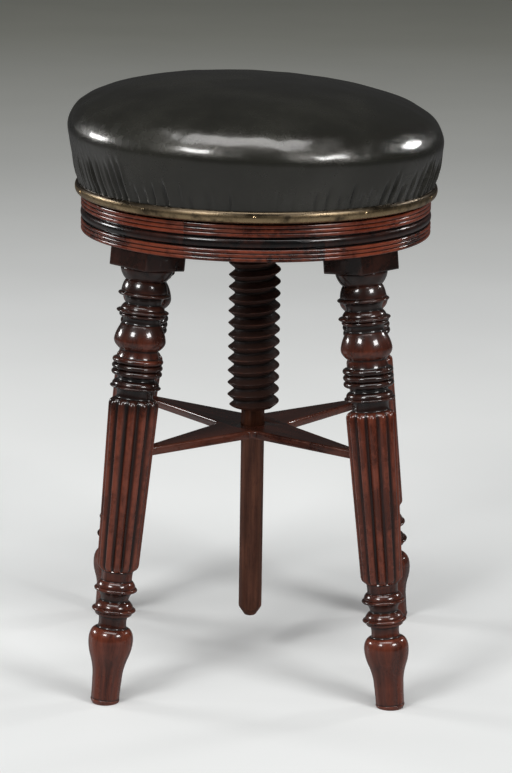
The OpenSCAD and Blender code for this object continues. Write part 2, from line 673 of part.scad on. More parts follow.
// The outline of the four corner fillets, clear of the other bar; where the bars cross,
// the upper bar carries the upper half of each fillet and the lower bar the lower half
module corner_outline(other_i, other_j) {
    difference() {
        for (pair = corner_pairs) arm_corner(pair[0], pair[1]);
        bar_outline(other_i, other_j);
    }
}

// The round tenon at the end of the arm towards leg i
module arm_tenon(i, gap) {
    rotate([0, 0, arm_way(i)]) translate([arm_l(i) - arm_tenon_d - gap, 0, stretcher_z])
        rotate([0, 90, 0])
        cylinder(d = arm_tenon_d + 2 * gap, h = arm_tenon_l + arm_tenon_d + 2 * gap, $fn = 32);
}

// One bar of the crossed stretcher; at the hub each keeps half of its thickness
module stretcher_bar(i, j, other_i, other_j, lower) {
    half = stretcher_t / 2;
    low = stretcher_top - stretcher_t;
    color([0.3, 0.09, 0.05]) difference() {
        union() {
            translate([0, 0, low]) linear_extrude(height = stretcher_t) bar_outline(i, j);
            translate([0, 0, lower ? low : stretcher_z])
                linear_extrude(height = half) corner_outline(other_i, other_j);
            arm_tenon(i, 0);
            arm_tenon(j, 0);
        }
        translate([0, 0, lower ? stretcher_z : low - over])
            linear_extrude(height = half + over) bar_outline(other_i, other_j);
        translate([0, 0, low - over]) cylinder(r = hub_bore_r, h = stretcher_t + 2 * over);
    }
}

module stretcher_bar_a() { stretcher_bar(1, 2, 0, 3, false); }
module stretcher_bar_b() { stretcher_bar(0, 3, 1, 2, true); }

leather_cover();
wadding_layer();
horsehair_stuffing();
seat_board();
brass_beading();
beading_pins();
leather_tacks();
screw();
screw_head_screws();
stop_washer();
frieze_segment(1);  // frieze_segment_1
frieze_segment(2);  // frieze_segment_2
frieze_segment(3);  // frieze_segment_3
frieze_segment(4);  // frieze_segment_4
frieze_segment(5);  // frieze_segment_5
frieze_segment(6);  // frieze_segment_6
frieze_segment(7);  // frieze_segment_7
frieze_segment(8);  // frieze_segment_8
base_board();
screw_nut();
nut_screws();
leg(0);  // leg_front_left
leg(1);  // leg_front_right
leg(2);  // leg_rear_left
leg(3);  // leg_rear_right
tenon_wedges();
stretcher_bar_a();
stretcher_bar_b();
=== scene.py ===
"""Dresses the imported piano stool, piece by piece, in the place the solids give it.

Every piece stands for a node of the frame: the leather pad, its brass bead and pins,
the reeded ring in its eight segments, the four turned legs, the wooden screw and the
crossed stretcher. All sizes are in metres, the floor is z = 0 and the front faces -Y.
"""
import json
import logging
import math
from collections.abc import Callable, Iterator, Sequence
from contextlib import contextmanager
from dataclasses import dataclass
from enum import Enum
from functools import cache
from typing import ClassVar

import bmesh
import bpy
import numpy as np
from bpy.types import Material, Node, NodeSocket, NodeTree, Object
from mathutils import Matrix, Vector
from mathutils.kdtree import KDTree

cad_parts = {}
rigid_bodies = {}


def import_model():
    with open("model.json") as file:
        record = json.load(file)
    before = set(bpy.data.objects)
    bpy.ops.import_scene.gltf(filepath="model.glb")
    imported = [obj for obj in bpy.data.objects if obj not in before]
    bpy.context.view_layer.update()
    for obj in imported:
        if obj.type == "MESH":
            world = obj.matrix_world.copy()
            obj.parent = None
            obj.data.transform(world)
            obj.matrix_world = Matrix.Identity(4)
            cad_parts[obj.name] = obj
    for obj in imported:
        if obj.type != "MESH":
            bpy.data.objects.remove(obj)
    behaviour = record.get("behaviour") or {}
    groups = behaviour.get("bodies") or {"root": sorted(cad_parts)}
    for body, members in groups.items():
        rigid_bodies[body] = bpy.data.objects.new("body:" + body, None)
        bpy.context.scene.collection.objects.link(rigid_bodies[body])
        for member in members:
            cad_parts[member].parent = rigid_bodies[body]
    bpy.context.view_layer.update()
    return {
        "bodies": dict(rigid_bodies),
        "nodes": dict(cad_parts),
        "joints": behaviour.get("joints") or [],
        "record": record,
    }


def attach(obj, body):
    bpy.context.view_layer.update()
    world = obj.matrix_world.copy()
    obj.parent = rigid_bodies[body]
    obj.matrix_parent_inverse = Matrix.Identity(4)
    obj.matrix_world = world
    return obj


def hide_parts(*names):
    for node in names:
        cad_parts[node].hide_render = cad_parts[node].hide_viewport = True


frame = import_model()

LOG = logging.getLogger("stool")
FULL_TURN = 2 * math.pi
FRONT = math.radians(270)
MM = 1e-3
MERGE = 1e-6
NEAR = 1e-5
BORE_STEPS = 96


class Body(Enum):
    """The bodies of the frame that a new piece can ride on."""

    BASE = "base"
    SEAT = "seat"


class Slot(Enum):
    """The record's material slots, one named by each sub-assembly."""

    LEATHER = "black_leather"
    BRASS = "brass"
    SCREW = "screw_wood"
    RING = "ring_mahogany"
    LEG = "leg_mahogany"
    STRETCHER = "stretcher_wood"


class Curve(Enum):
    """The curve that a moulding lays between its two ends."""

    HALF_ELLIPSE = "half_ellipse"
    FLOWING = "flowing"
    SHOULDER = "shoulder"


FLOWING, SHOULDER = Curve.FLOWING, Curve.SHOULDER
Colour = tuple[float, float, float]
Outline = Sequence[tuple[float, float]]
Row = tuple[float, float, float, float] | tuple[float, float, float, float, Curve]
Sockets = dict[str | int, object]


@dataclass(frozen=True)
class StoolPlan:
    """The stool's own sizes, which every sub-assembly is set out from."""

    base_underside: float = 0.417
    base_board_t: float = 0.030
    ring_r: float = 0.1615
    ring_h: float = 0.033
    ring_t: float = 0.012
    reed_depth: float = 0.0024
    washer_t: float = 0.0045
    seat_wide_h: float = 0.057
    seat_board_r: float = 0.162
    seat_board_t: float = 0.018
    leather_t: float = 0.0014
    cover_gap: float = 0.0001
    bead_h: float = 0.010
    bead_t: float = 0.0031
    leg_top_reach: float = 0.0940452
    foot_splay: float = 0.0365
    rear_foot_splay: float = 0.050
    block_h: float = 0.0195
    upper_turn_h: float = 0.1255
    front_left_rise: float = 0.0075
    reeded_h: float = 0.159
    reeds_top_r: float = 0.0227
    reeds_end_r: float = 0.0189

    @property
    def base_top(self) -> float:
        """Height of the base board's top."""
        return self.base_underside + self.base_board_t

    @property
    def seat_under(self) -> float:
        """Height of the seat board's underside."""
        return self.base_top + self.washer_t

    @property
    def wide_z(self) -> float:
        """Height at which the pad is widest."""
        return self.seat_under + self.seat_wide_h

    @property
    def bead_z(self) -> float:
        """Height of the brass bead's middle."""
        return self.seat_under + self.leather_t / 2 + self.bead_h / 2

    @property
    def bead_top(self) -> float:
        """Height of the brass bead's upper edge."""
        return self.bead_z + self.bead_h / 2

    @property
    def leather_low_r(self) -> float:
        """Radius of the leather where it lies flat under the bead."""
        return self.seat_board_r + self.cover_gap + self.leather_t

    @property
    def bead_back_r(self) -> float:
        """Radius of the bead's flat back."""
        return self.leather_low_r + 2 * self.cover_gap

    def side(self, leg: int) -> tuple[int, int]:
        """Signs of a leg's corner in X and Y, in the order FL, FR, RL, RR."""
        return ((-1, -1), (1, -1), (-1, 1), (1, 1))[leg]

    def rise(self, leg: int) -> float:
        """How much higher a leg's turnings stand than on the common leg."""
        return self.front_left_rise if leg == 0 else 0.0

    def reeds_from(self, leg: int) -> float:
        """Distance down a leg at which its reeds begin."""
        return self.block_h + self.upper_turn_h - self.rise(leg)

    def reeds_r(self, down: float) -> float:
        """Radius over the reeds at a distance below their top."""
        return self.reeds_top_r + (self.reeds_end_r - self.reeds_top_r) * down / self.reeded_h

    def leg_top(self, leg: int) -> Vector:
        """Place of a leg's axis at the base's underside."""
        sx, sy = self.side(leg)
        return Vector((sx * self.leg_top_reach, sy * self.leg_top_reach, self.base_underside))

    def leg_foot(self, leg: int) -> Vector:
        """Place of a leg's axis on the floor.

        Args:
            leg: Number of the leg.

        Returns:
            The place.
        """
        sx, sy = self.side(leg)
        splay = self.foot_splay if sy < 0 else self.rear_foot_splay
        return Vector((sx * (self.leg_top_reach + splay),
                       sy * (self.leg_top_reach + self.foot_splay), 0.0))

    def leg_run(self, leg: int) -> Vector:
        """Way from the top of a leg's axis to its foot."""
        return self.leg_foot(leg) - self.leg_top(leg)

    def leg_at(self, leg: int, z: float) -> Vector:
        """Place of a leg's axis at a height above the floor."""
        foot = self.leg_foot(leg)
        return foot + (self.leg_top(leg) - foot) * (z / self.base_underside)

    def leg_lean(self, leg: int) -> float:
        """Angle of a leg's axis from the upright, in radians."""
        run = self.leg_run(leg)
        return math.atan2(math.hypot(run.x, run.y), self.base_underside)

    def leg_place(self, leg: int, at: Vector | None = None) -> Matrix:
        """Matrix that sets a leg's own upright axis on its lean.

        Args:
            leg: Number of the leg.
            at: Point of the axis that the local origin goes to; the top by default.

        Returns:
            The matrix from the leg's own axes to the stool's.
        """
        run = self.leg_run(leg)
        way = math.atan2(run.y, run.x)
        square = math.atan2(self.side(leg)[1], self.side(leg)[0])
        return (Matrix.Translation(self.leg_top(leg) if at is None else at)
                @ Matrix.Rotation(way, 4, "Z") @ Matrix.Rotation(-self.leg_lean(leg), 4, "Y")
                @ Matrix.Rotation(square - way, 4, "Z"))


def unit(turn: float) -> Vector:
    """Gives the level direction at an angle from +X, counter-clockwise from above."""
    return Vector((math.cos(turn), math.sin(turn), 0))


def left(way: Vector) -> Vector:
    """Gives the level direction a quarter turn to the left of another."""
    return Vector((-way.y, way.x, 0))


def ellipse(r: float, z: float, wide: float, tall: float, degrees: Sequence[int]) -> Outline:
    """Gives points of an ellipse round a middle, at angles up from its outer side."""
    turns = [math.radians(a) for a in degrees]
    return [(r + wide * math.cos(a), z + tall * math.sin(a)) for a in turns]


def eased(share: np.ndarray) -> np.ndarray:
    """Clips shares to between 0 and 1 and eases them at both ends."""
    share = np.clip(share, 0, 1)
    return share * share * (3 - 2 * share)


def clear() -> None:
    """Leaves edit mode and deselects every object."""
    if bpy.context.object is not None and bpy.context.object.mode != "OBJECT":
        bpy.ops.object.mode_set(mode="OBJECT")
    bpy.ops.object.select_all(action="DESELECT")


def take(*objects: Object) -> None:
    """Selects only these objects and makes the first the active one.

    Args:
        objects: The objects.
    """
    clear()
    for obj in objects:
        obj.select_set(True)
    bpy.context.view_layer.objects.active = objects[0]


@contextmanager
def editing(obj: Object) -> Iterator[None]:
    """Opens an object's mesh for editing, with all of it selected, and closes it again.

    Args:
        obj: The object to edit.
    """
    take(obj)
    bpy.ops.object.mode_set(mode="EDIT")
    bpy.ops.mesh.select_mode(type="VERT")
    bpy.ops.mesh.select_all(action="SELECT")
    yield
    bpy.ops.object.mode_set(mode="OBJECT")


def face_out() -> None:
    """Turns all faces of the open mesh outwards."""
    bpy.ops.mesh.select_all(action="SELECT")
    bpy.ops.mesh.normals_make_consistent(inside=False)


def pick(obj: Object, test: Callable[[Vector], bool]) -> None:
    """Selects the points of the open mesh that pass a test of their place.

    Args:
        obj: The object in edit mode.
        test: Says whether a point at this place is selected.
    """
    bpy.ops.mesh.select_all(action="DESELECT")
    mesh = bmesh.from_edit_mesh(obj.data)
    for point in mesh.verts:
        if test(point.co):
            point.select = True
    mesh.select_flush(True)
    bmesh.update_edit_mesh(obj.data)


def rim(obj: Object, area: float, width: float) -> None:
    """Insets the wide faces of the open mesh, so that their edges can wear alone.

    Args:
        obj: The object in edit mode.
        area: Least area of a face that gets a rim.
        width: Width of the rim.
    """
    bpy.ops.mesh.select_mode(type="FACE")
    bpy.ops.mesh.select_all(action="DESELECT")
    mesh = bmesh.from_edit_mesh(obj.data)
    for face in mesh.faces:
        face.select_set(face.calc_area() > area)
    bmesh.update_edit_mesh(obj.data)
    bpy.ops.mesh.inset(thickness=width, use_individual=True)
    bpy.ops.mesh.select_mode(type="VERT")


def draw(name: str, points: Sequence[Sequence[float]], closed: bool = False) -> Object:
    """Draws a line through points by pulling one point out of the last.

    Args:
        name: Name of the new object.
        points: Places of the line's points.
        closed: Whether the last point is joined to the first.

    Returns:
        The new object, with edges only.
    """
    clear()
    bpy.ops.mesh.primitive_plane_add(size=0.002)
    obj = bpy.context.object
    obj.name = obj.data.name = name
    places = [Vector(p) for p in points]
    with editing(obj):
        bpy.ops.mesh.merge(type="CENTER")
        bpy.ops.transform.translate(value=places[0])
        for last, here in zip(places, places[1:]):
            bpy.ops.mesh.extrude_vertices_move(TRANSFORM_OT_translate={"value": here - last})
        if closed:
            ends = (places[0], places[-1])
            pick(obj, lambda co: min((co - e).length for e in ends) < MERGE)
            bpy.ops.mesh.edge_face_add()
    return obj


def spin(obj: Object, steps: int, sweep: float = FULL_TURN) -> None:
    """Spins a drawn outline round the upright axis and closes its poles.

    Args:
        obj: Object whose mesh is the outline.
        steps: Number of steps in the sweep.
        sweep: Angle of the sweep.
    """
    with editing(obj):
        bpy.ops.mesh.spin(steps=steps, angle=sweep, center=(0, 0, 0), axis=(0, 0, 1))
        bpy.ops.mesh.select_all(action="SELECT")
        bpy.ops.mesh.remove_doubles(threshold=MERGE)
        face_out()


def turned(name: str, outline: Outline, steps: int, closed: bool = False) -> Object:
    """Turns a piece as on a lathe from its outline of radii and heights.

    Args:
        name: Name of the new object.
        outline: Radius and height of each point.
        steps: Number of steps round the piece.
        closed: Whether the outline is a closed ring section.

    Returns:
        The turned object.
    """
    obj = draw(name, [(r, 0.0, z) for r, z in outline], closed)
    spin(obj, steps)
    return obj


def cube(name: str, size: Sequence[float], lift: float) -> Object:
    """Adds a cube and gives it its three sizes and its height in edit mode.

    Args:
        name: Name of the new object.
        size: Its sides along X, Y and Z.
        lift: Height of its middle.

    Returns:
        The new object.
    """
    clear()
    bpy.ops.mesh.primitive_cube_add(size=1.0)
    obj = bpy.context.object
    obj.name = name
    with editing(obj):
        bpy.ops.transform.resize(value=size)
        bpy.ops.transform.translate(value=(0, 0, lift))
    return obj


def settle(obj: Object, matrix: Matrix) -> None:
    """Moves a piece by a matrix and settles its place into its mesh.

    Args:
        obj: The piece.
        matrix: The matrix from its mesh to its place.
    """
    obj.matrix_world = matrix
    take(obj)
    bpy.ops.object.transform_apply(location=True, rotation=True, scale=True)


def copied(obj: Object, name: str) -> Object:
    """Copies an object together with its mesh.

    Args:
        obj: The object to copy.
        name: Name of the copy.

    Returns:
        The copy.
    """
    take(obj)
    bpy.ops.object.duplicate()
    twin = bpy.context.object
    twin.name = twin.data.name = name
    return twin


def delete(*objects: Object) -> None:
    """Deletes objects that were only tools or patterns."""
    take(*objects)
    bpy.ops.object.delete()


def join(name: str, parts: Sequence[Object]) -> Object:
    """Joins parts into one named piece.

    Args:
        name: Name of the piece.
        parts: Its parts, of which the first is kept.

    Returns:
        The joined piece.
    """
    take(*parts)
    bpy.ops.object.join()
    parts[0].name = parts[0].data.name = name
    return parts[0]


def saw(obj: Object, point: Sequence[float], way: Sequence[float]) -> None:
    """Saws off what lies beyond a plane and closes the cut.

    Args:
        obj: Object to cut.
        point: A point of the plane.
        way: Direction in which the waste lies.
    """
    with editing(obj):
        bpy.ops.mesh.bisect(plane_co=point, plane_no=way, use_fill=True, clear_outer=True)


def apply(obj: Object, step: bpy.types.Modifier) -> None:
    """Applies one modifier of an object."""
    take(obj)
    bpy.ops.object.modifier_apply(modifier=step.name)


def cut(obj: Object, tool: Object, kind: str = "DIFFERENCE") -> None:
    """Applies a Boolean of one object with another, which is then deleted.

    Args:
        obj: Object that is cut.
        tool: Object that cuts.
        kind: DIFFERENCE or INTERSECT.
    """
    step = obj.modifiers.new("cut", "BOOLEAN")
    step.operation, step.object, step.solver = kind, tool, "EXACT"
    apply(obj, step)
    delete(tool)


def points_of(obj: Object) -> np.ndarray:
    """Reads the places of a mesh's points.

    Args:
        obj: Object whose mesh is read.

    Returns:
        The places, one row each.
    """
    places = np.empty(len(obj.data.vertices) * 3, dtype=np.float32)
    obj.data.vertices.foreach_get("co", places)
    return places.reshape(-1, 3)


def normals_of(obj: Object) -> np.ndarray:
    """Reads the directions in which a mesh's points face.

    Args:
        obj: Object whose mesh is read.

    Returns:
        The directions, one row each.
    """
    ways = np.empty(len(obj.data.vertices) * 3, dtype=np.float32)
    obj.data.vertex_normals.foreach_get("vector", ways)
    return ways.reshape(-1, 3)


def move_points(obj: Object, places: np.ndarray) -> None:
    """Moves the points of a mesh to new places."""
    obj.data.vertices.foreach_set("co", places.astype(np.float32).ravel())
    obj.data.update()


def lay(obj: Object, name: str, values: np.ndarray) -> None:
    """Writes a number or a vector for each point as a named attribute.

    Args:
        obj: Object whose mesh gets the values.
        name: Name of the attribute.
        values: One number, or one row of three, for each point.
    """
    kind, key = ("FLOAT", "value") if values.ndim == 1 else ("FLOAT_VECTOR", "vector")
    layer = obj.data.attributes.new(name, kind, "POINT")
    layer.data.foreach_set(key, values.astype(np.float32).ravel())


def lay_grain(obj: Object, seed: int, places: np.ndarray | None = None) -> None:
    """Lays a piece's own coordinates for its grain, which runs along the third.

    Args:
        obj: The piece.
        seed: Number that gives each piece its own stretch of wood.
        places: Coordinates of its points in the wood; those of its mesh by default.
    """
    shift = np.random.default_rng(seed).uniform(-3, 3, 3)
    lay(obj, "grain_at", (points_of(obj) if places is None else places) + shift)


def lay_hollows(obj: Object, reach: float, passes: int) -> None:
    """Lays how hollow (above 0) or how proud (below 0) the surface is at each point.

    Args:
        obj: Object whose finished mesh is measured.
        reach: Size of a hollow that counts in full.
        passes: How often the values are evened out with their neighbours.
    """
    places = points_of(obj).astype(np.float64)
    ways = normals_of(obj).astype(np.float64)
    pairs = np.empty(len(obj.data.edges) * 2, dtype=np.int64)
    obj.data.edges.foreach_get("vertices", pairs)
    a, b = pairs.reshape(-1, 2).T
    run = places[b] - places[a]
    square = np.maximum((run ** 2).sum(1), 1e-10)
    total, count = np.zeros(len(places)), np.zeros(len(places))
    for end, way in ((a, run), (b, -run)):
        np.add.at(total, end, (ways[end] * way).sum(1) / square)
        np.add.at(count, end, 1.0)
    count = np.maximum(count, 1.0)
    value = np.clip(total / count * 2 * reach, -1.5, 1.5)
    for _ in range(passes):
        near = np.zeros(len(places))
        np.add.at(near, a, value[b])
        np.add.at(near, b, value[a])
        value = 0.5 * value + 0.5 * near / count
    lay(obj, "hollow", np.clip(value, -1.0, 1.0))


def moulded(rows: Sequence[Row], top: float, height: float, inner: float, depth: float,
            steps: int) -> list[tuple[float, float]]:
    """Sets out a run of mouldings from rows of shares, as the source does.

    Args:
        rows: For each moulding, its share of the height and of the depth at its upper
            end, at its middle and at its lower end, and its curve.
        top: Height at which the run starts, going down.
        height: Height of the whole run.
        inner: Radius at share 0 of the depth.
        depth: Radius from share 0 to share 1.
        steps: Points in each moulding.

    Returns:
        Radius and height of each point.
    """
    whole = sum(row[0] for row in rows)
    outline = []
    z = top
    for share, upper, middle, lower, *named in rows:
        curve = named[0] if named else Curve.HALF_ELLIPSE
        drop = share / whole * height
        bulge = middle - (upper + lower) / 2
        for k in range(steps):
            s = k / steps
            if curve is FLOWING:
                t, r = s, upper + (lower - upper) * s + 4 * bulge * s * (1 - s)
            elif curve is SHOULDER:
                turn = math.pi / 2 * s
                t, r = 1 - math.cos(turn), upper + (lower - upper) * math.sin(turn)
            else:
                t = (1 - math.cos(math.pi * s)) / 2
                r = upper + (lower - upper) * t + bulge * math.sin(math.pi * s)
            outline.append((inner + depth * r, z - drop * t))
        z -= drop
    outline.append((inner + depth * rows[-1][3], z))
    return outline


class Recipe:
    """The nodes of one material or node group, added and linked by short calls."""

    def __init__(self, tree: NodeTree) -> None:
        """Starts on an empty node tree."""
        self.tree = tree
        self.tree.nodes.clear()

    def add(self, kind: str, sockets: Sockets | None = None, **settings: object) -> Node:
        """Adds a node, sets its options and fills or links its inputs.

        Args:
            kind: Blender's name of the node, without the leading ShaderNode.
            sockets: Input names or numbers with their values or the outputs to link.
            settings: Options of the node.

        Returns:
            The new node.
        """
        node = self.tree.nodes.new(kind if kind.startswith("Node") else "ShaderNode" + kind)
        for name, value in settings.items():
            setattr(node, name, value)
        for name, value in (sockets or {}).items():
            if isinstance(value, NodeSocket):
                self.tree.links.new(value, node.inputs[name])
            else:
                node.inputs[name].default_value = value
        return node

    def place(self) -> NodeSocket:
        """Gives a point's place on the stool's own axes."""
        return self.add("TexCoord").outputs["Object"]

    def laid(self, name: str, kind: str = "Fac") -> NodeSocket:
        """Gives what was laid on the points under a name."""
        return self.add("Attribute", attribute_name=name).outputs[kind]

    def math(self, kind: str, *values: object) -> NodeSocket:
        """Adds a math node on up to three values or outputs and gives its result."""
        return self.add("Math", dict(enumerate(values)), operation=kind).outputs[0]

    def ramp(self, value: object, low: float, high: float, to_low: float = 0.0,
             to_high: float = 1.0) -> NodeSocket:
        """Adds a smooth map of a range onto another and gives its result."""
        sockets = {0: value, 1: low, 2: high, 3: to_low, 4: to_high}
        return self.add("MapRange", sockets, interpolation_type="SMOOTHSTEP").outputs[0]

    def mix(self, share: object, low: object, high: object, blend: str = "MIX") -> NodeSocket:
        """Adds a colour mix of two colours or outputs.

        Args:
            share: Share of the second.
            low: The first colour or output.
            high: The second colour or output.
            blend: How the second is laid over the first.

        Returns:
            The mixed colour.
        """
        low, high = ((*c, 1) if isinstance(c, tuple) else c for c in (low, high))
        node = self.add("Mix", {0: share, 6: low, 7: high}, data_type="RGBA", blend_type=blend)
        return node.outputs[2]

    def scaled(self, where: NodeSocket, *scale: float) -> NodeSocket:
        """Scales a place by one number, or along its three axes."""
        scale = scale * 3 if len(scale) == 1 else scale
        return self.add("Mapping", {"Vector": where, "Scale": scale}).outputs[0]

    def noise(self, where: NodeSocket, detail: float, rough: float,
              swirl: float = 0.0) -> NodeSocket:
        """Adds a noise of unit scale at a place and gives its value."""
        return self.add("TexNoise", {"Vector": where, "Scale": 1.0, "Detail": detail,
                                     "Roughness": rough, "Distortion": swirl}).outputs[0]

    def bump(self, strength: float, distance: float, height: NodeSocket) -> NodeSocket:
        """Adds a bump of a height and gives its normal."""
        sockets = {"Strength": strength, "Distance": distance, "Height": height}
        return self.add("Bump", sockets).outputs[0]


def group(name: str, inputs: dict[str, str], outputs: Sequence[str]) -> Recipe:
    """Opens a new node group with named sockets.

    Args:
        name: Name of the group.
        inputs: Names and kinds of its inputs.
        outputs: Names of its outputs, which are numbers.

    Returns:
        The recipe that fills the group.
    """
    tree = bpy.data.node_groups.new(name, "ShaderNodeTree")
    for label, kind in inputs.items():
        tree.interface.new_socket(label, in_out="INPUT", socket_type="NodeSocket" + kind)
    for label in outputs:
        tree.interface.new_socket(label, in_out="OUTPUT", socket_type="NodeSocketFloat")
    return Recipe(tree)


@cache
def wood_figure() -> NodeTree:
    """Builds or gives the group for wood: figure, pores and their height.

    Returns:
        The group's nodes.
    """
    r = group("wood_figure", {"Place": "Vector"}, ("Figure", "Pores", "Height"))
    place = r.add("NodeGroupInput").outputs[0]
    broad = r.noise(r.scaled(place, 48, 48, 5), 3, 0.55, 0.8)
    streak = r.noise(r.scaled(place, 420, 420, 13), 3, 0.6, 0.3)
    fine = r.noise(r.scaled(place, 2200, 2200, 110), 1, 0.5)
    figure = r.math("ADD", r.math("MULTIPLY", broad, 0.62), r.math("MULTIPLY", streak, 0.38))
    pores = r.ramp(fine, 0.58, 0.74)
    height = r.math("SUBTRACT", r.math("MULTIPLY", streak, 0.35), pores)
    r.add("NodeGroupOutput", {0: figure, 1: pores, 2: height})
    return r.tree


@cache
def age_marks() -> NodeTree:
    """Builds or gives the group for age: dark deposits and painted shade in hollows, rubbed edges,
    smears.

    Returns:
        The group's nodes.
    """
    r = group("age_marks", {"Place": "Vector", "Hollow": "Float"},
              ("ResidueAndShade", "Rubbed", "Smears"))
    place, hollow = r.add("NodeGroupInput").outputs[:2]
    patch = r.noise(r.scaled(place, 30), 4, 0.6)
    speck = r.noise(r.scaled(place, 260), 2, 0.6)
    uneven = r.math("ADD", r.math("MULTIPLY", patch, 0.7), r.math("MULTIPLY", speck, 0.3))
    deep = r.ramp(hollow, 0.04, 0.45)
    proud = r.ramp(hollow, -0.06, -0.5)
    # Darkening in hollows: partly real deposits, partly painted shade in the grooves.
    residue_and_shade = r.math("MULTIPLY", deep, r.ramp(uneven, 0.2, 0.6, 0.55, 1.0))
    rubbed = r.math("MULTIPLY", proud, r.ramp(uneven, 0.4, 0.62))
    r.add("NodeGroupOutput", {0: residue_and_shade, 1: rubbed, 2: patch})
    return r.tree


@dataclass(frozen=True)
class Finish:
    """A finish, of which one material is made."""

    name: str

    def recipe(self, r: Recipe) -> Sockets:
        """Adds the finish's nodes.

        Args:
            r: The recipe that the nodes are added to.

        Returns:
            What goes into the shader's sockets.
        """
        raise NotImplementedError

    @cache
    def material(self) -> Material:
        """Builds the material, or gives it where it is already built.

        Returns:
            The material.
        """
        mat = bpy.data.materials.new(self.name)
        mat.use_nodes = True
        r = Recipe(mat.node_tree)
        shader = r.add("BsdfPrincipled", self.recipe(r))
        r.add("OutputMaterial", {0: shader.outputs[0]})
        return mat


@dataclass(frozen=True)
class Mahogany(Finish):
    """A wood from its shadowed to its lit figure, on its own grain or the stool's axes."""

    dark: Colour
    light: Colour
    rubbed: Colour
    # Colour that the laid darkening mixes to: painted shade on the legs and in the ring's grooves.
    darkened: Colour = (0.008, 0.006, 0.006)
    pore: Colour = (0.004, 0.002, 0.002)
    residue_and_shade: Colour = (0.0035, 0.0022, 0.002)
    roughness: float = 0.28
    coat: float = 0.9
    gloss: float = 0.22
    spread: float = 0.16
    local: bool = True

    def recipe(self, r: Recipe) -> Sockets:
        """Lays pores, darkening (partly painted shade), rubbed edges and deposits with painted
        shade in hollows over the wood's figure.

        Args:
            r: The recipe that the nodes are added to.

        Returns:
            What goes into the shader's sockets.
        """
        place = r.laid("grain_at", "Vector") if self.local else r.place()
        darkening = r.laid("darkening")
        wood = r.add("Group", {0: place}, node_tree=wood_figure()).outputs
        age = r.add("Group", {0: place, 1: r.laid("hollow")}, node_tree=age_marks()).outputs
        figure = r.ramp(wood["Figure"], 0.5 - self.spread, 0.5 + self.spread)
        colour = r.mix(figure, self.dark, self.light)
        colour = r.mix(r.math("MULTIPLY", wood["Pores"], 0.55), colour, self.pore)
        # Darkening: painted shade on the legs' block and turnings and in the ring's grooves, plus
        # a darker band and screw thread.
        colour = r.mix(darkening, colour, self.darkened)
        worn = r.math("MULTIPLY", age["Rubbed"], r.ramp(darkening, 0.0, 1.0, 0.55, 0.12))
        colour = r.mix(worn, colour, self.rubbed)
        # Deposits and painted shade in hollows and grooves.
        colour = r.mix(r.math("MULTIPLY", age["ResidueAndShade"], 0.85), colour, self.residue_and_shade)
        smears = r.ramp(age["Smears"], 0.3, 0.7, self.roughness - 0.05, self.roughness + 0.07)
        return {"Base Color": colour, "Specular IOR Level": self.gloss,
                "Roughness": r.math("ADD", smears, r.math("MULTIPLY", age["ResidueAndShade"], 0.22)),
                "Normal": r.bump(0.18, 0.00025, wood["Height"]),
                "Coat Weight": self.coat, "Coat Roughness": 0.08}


@dataclass(frozen=True)
class BlackLeather(Finish):
    """Old polished black leather with a fine grain and soft lumps."""

    name: str = "black_leather_polished"
    colour: Colour = (0.0120, 0.0118, 0.0095)
    crease_shade: Colour = (0.004, 0.004, 0.004)
    worn: float = 1.5

    def recipe(self, r: Recipe) -> Sockets:
        """Lays worn patches, painted shade in the creases, lumps and grain over the black.

        Args:
            r: The recipe that the nodes are added to.

        Returns:
            What goes into the shader's sockets.
        """
        place = r.place()
        lumps = r.noise(r.scaled(place, 95), 3, 0.5)
        broad = r.noise(r.scaled(place, 14), 3, 0.5)
        cells = r.add("TexVoronoi", {"Vector": r.scaled(place, 1100), "Scale": 1.0},
                      feature="DISTANCE_TO_EDGE").outputs[0]
        colour = r.mix(r.ramp(broad, 0.42, 0.68), self.colour,
                       tuple(c * self.worn for c in self.colour))
        # Painted shade: the hollows of the gathers are darkened.
        colour = r.mix(r.ramp(r.laid("hollow"), 0.05, 0.5), colour, self.crease_shade)
        rough = r.math("ADD", r.ramp(broad, 0.3, 0.7, 0.19, 0.27),
                       r.ramp(lumps, 0.35, 0.7, -0.02, 0.05))
        height = r.math("ADD", lumps, r.math("MULTIPLY", r.ramp(cells, 0.0, 0.22), 0.14))
        return {"Base Color": colour, "Roughness": rough, "Normal": r.bump(0.40, 0.0006, height),
                "Specular Tint": (1.0, 0.97, 0.90, 1), "Coat Weight": 0.85,
                "Coat Roughness": 0.15}


@dataclass(frozen=True)
class Metal(Finish):
    """A metal with its tarnish and fine scratches."""

    bright: Colour
    tarnish_and_shade: Colour
    roughness: float

    def recipe(self, r: Recipe) -> Sockets:
        """Lays tarnish in patches and hollows over the bright metal; on the bead the laid hollow
        paints shade on its upper part.

        Args:
            r: The recipe that the nodes are added to.

        Returns:
            What goes into the shader's sockets.
        """
        place = r.place()
        patch = r.noise(r.scaled(place, 60), 5, 0.65)
        speck = r.noise(r.scaled(place, 900), 2, 0.5)
        # Tarnish in patches and hollows, and on the bead's upper part a painted dark reflection.
        dull = r.math("MAXIMUM", r.ramp(patch, 0.45, 0.7), r.ramp(r.laid("hollow"), 0.05, 0.4))
        rough = r.math("ADD", r.ramp(patch, 0.3, 0.7, self.roughness, self.roughness + 0.18),
                       r.math("MULTIPLY", speck, 0.06))
        return {"Base Color": r.mix(dull, self.bright, self.tarnish_and_shade), "Roughness": rough,
                "Metallic": 1.0, "Normal": r.bump(0.12, 0.0002, speck)}


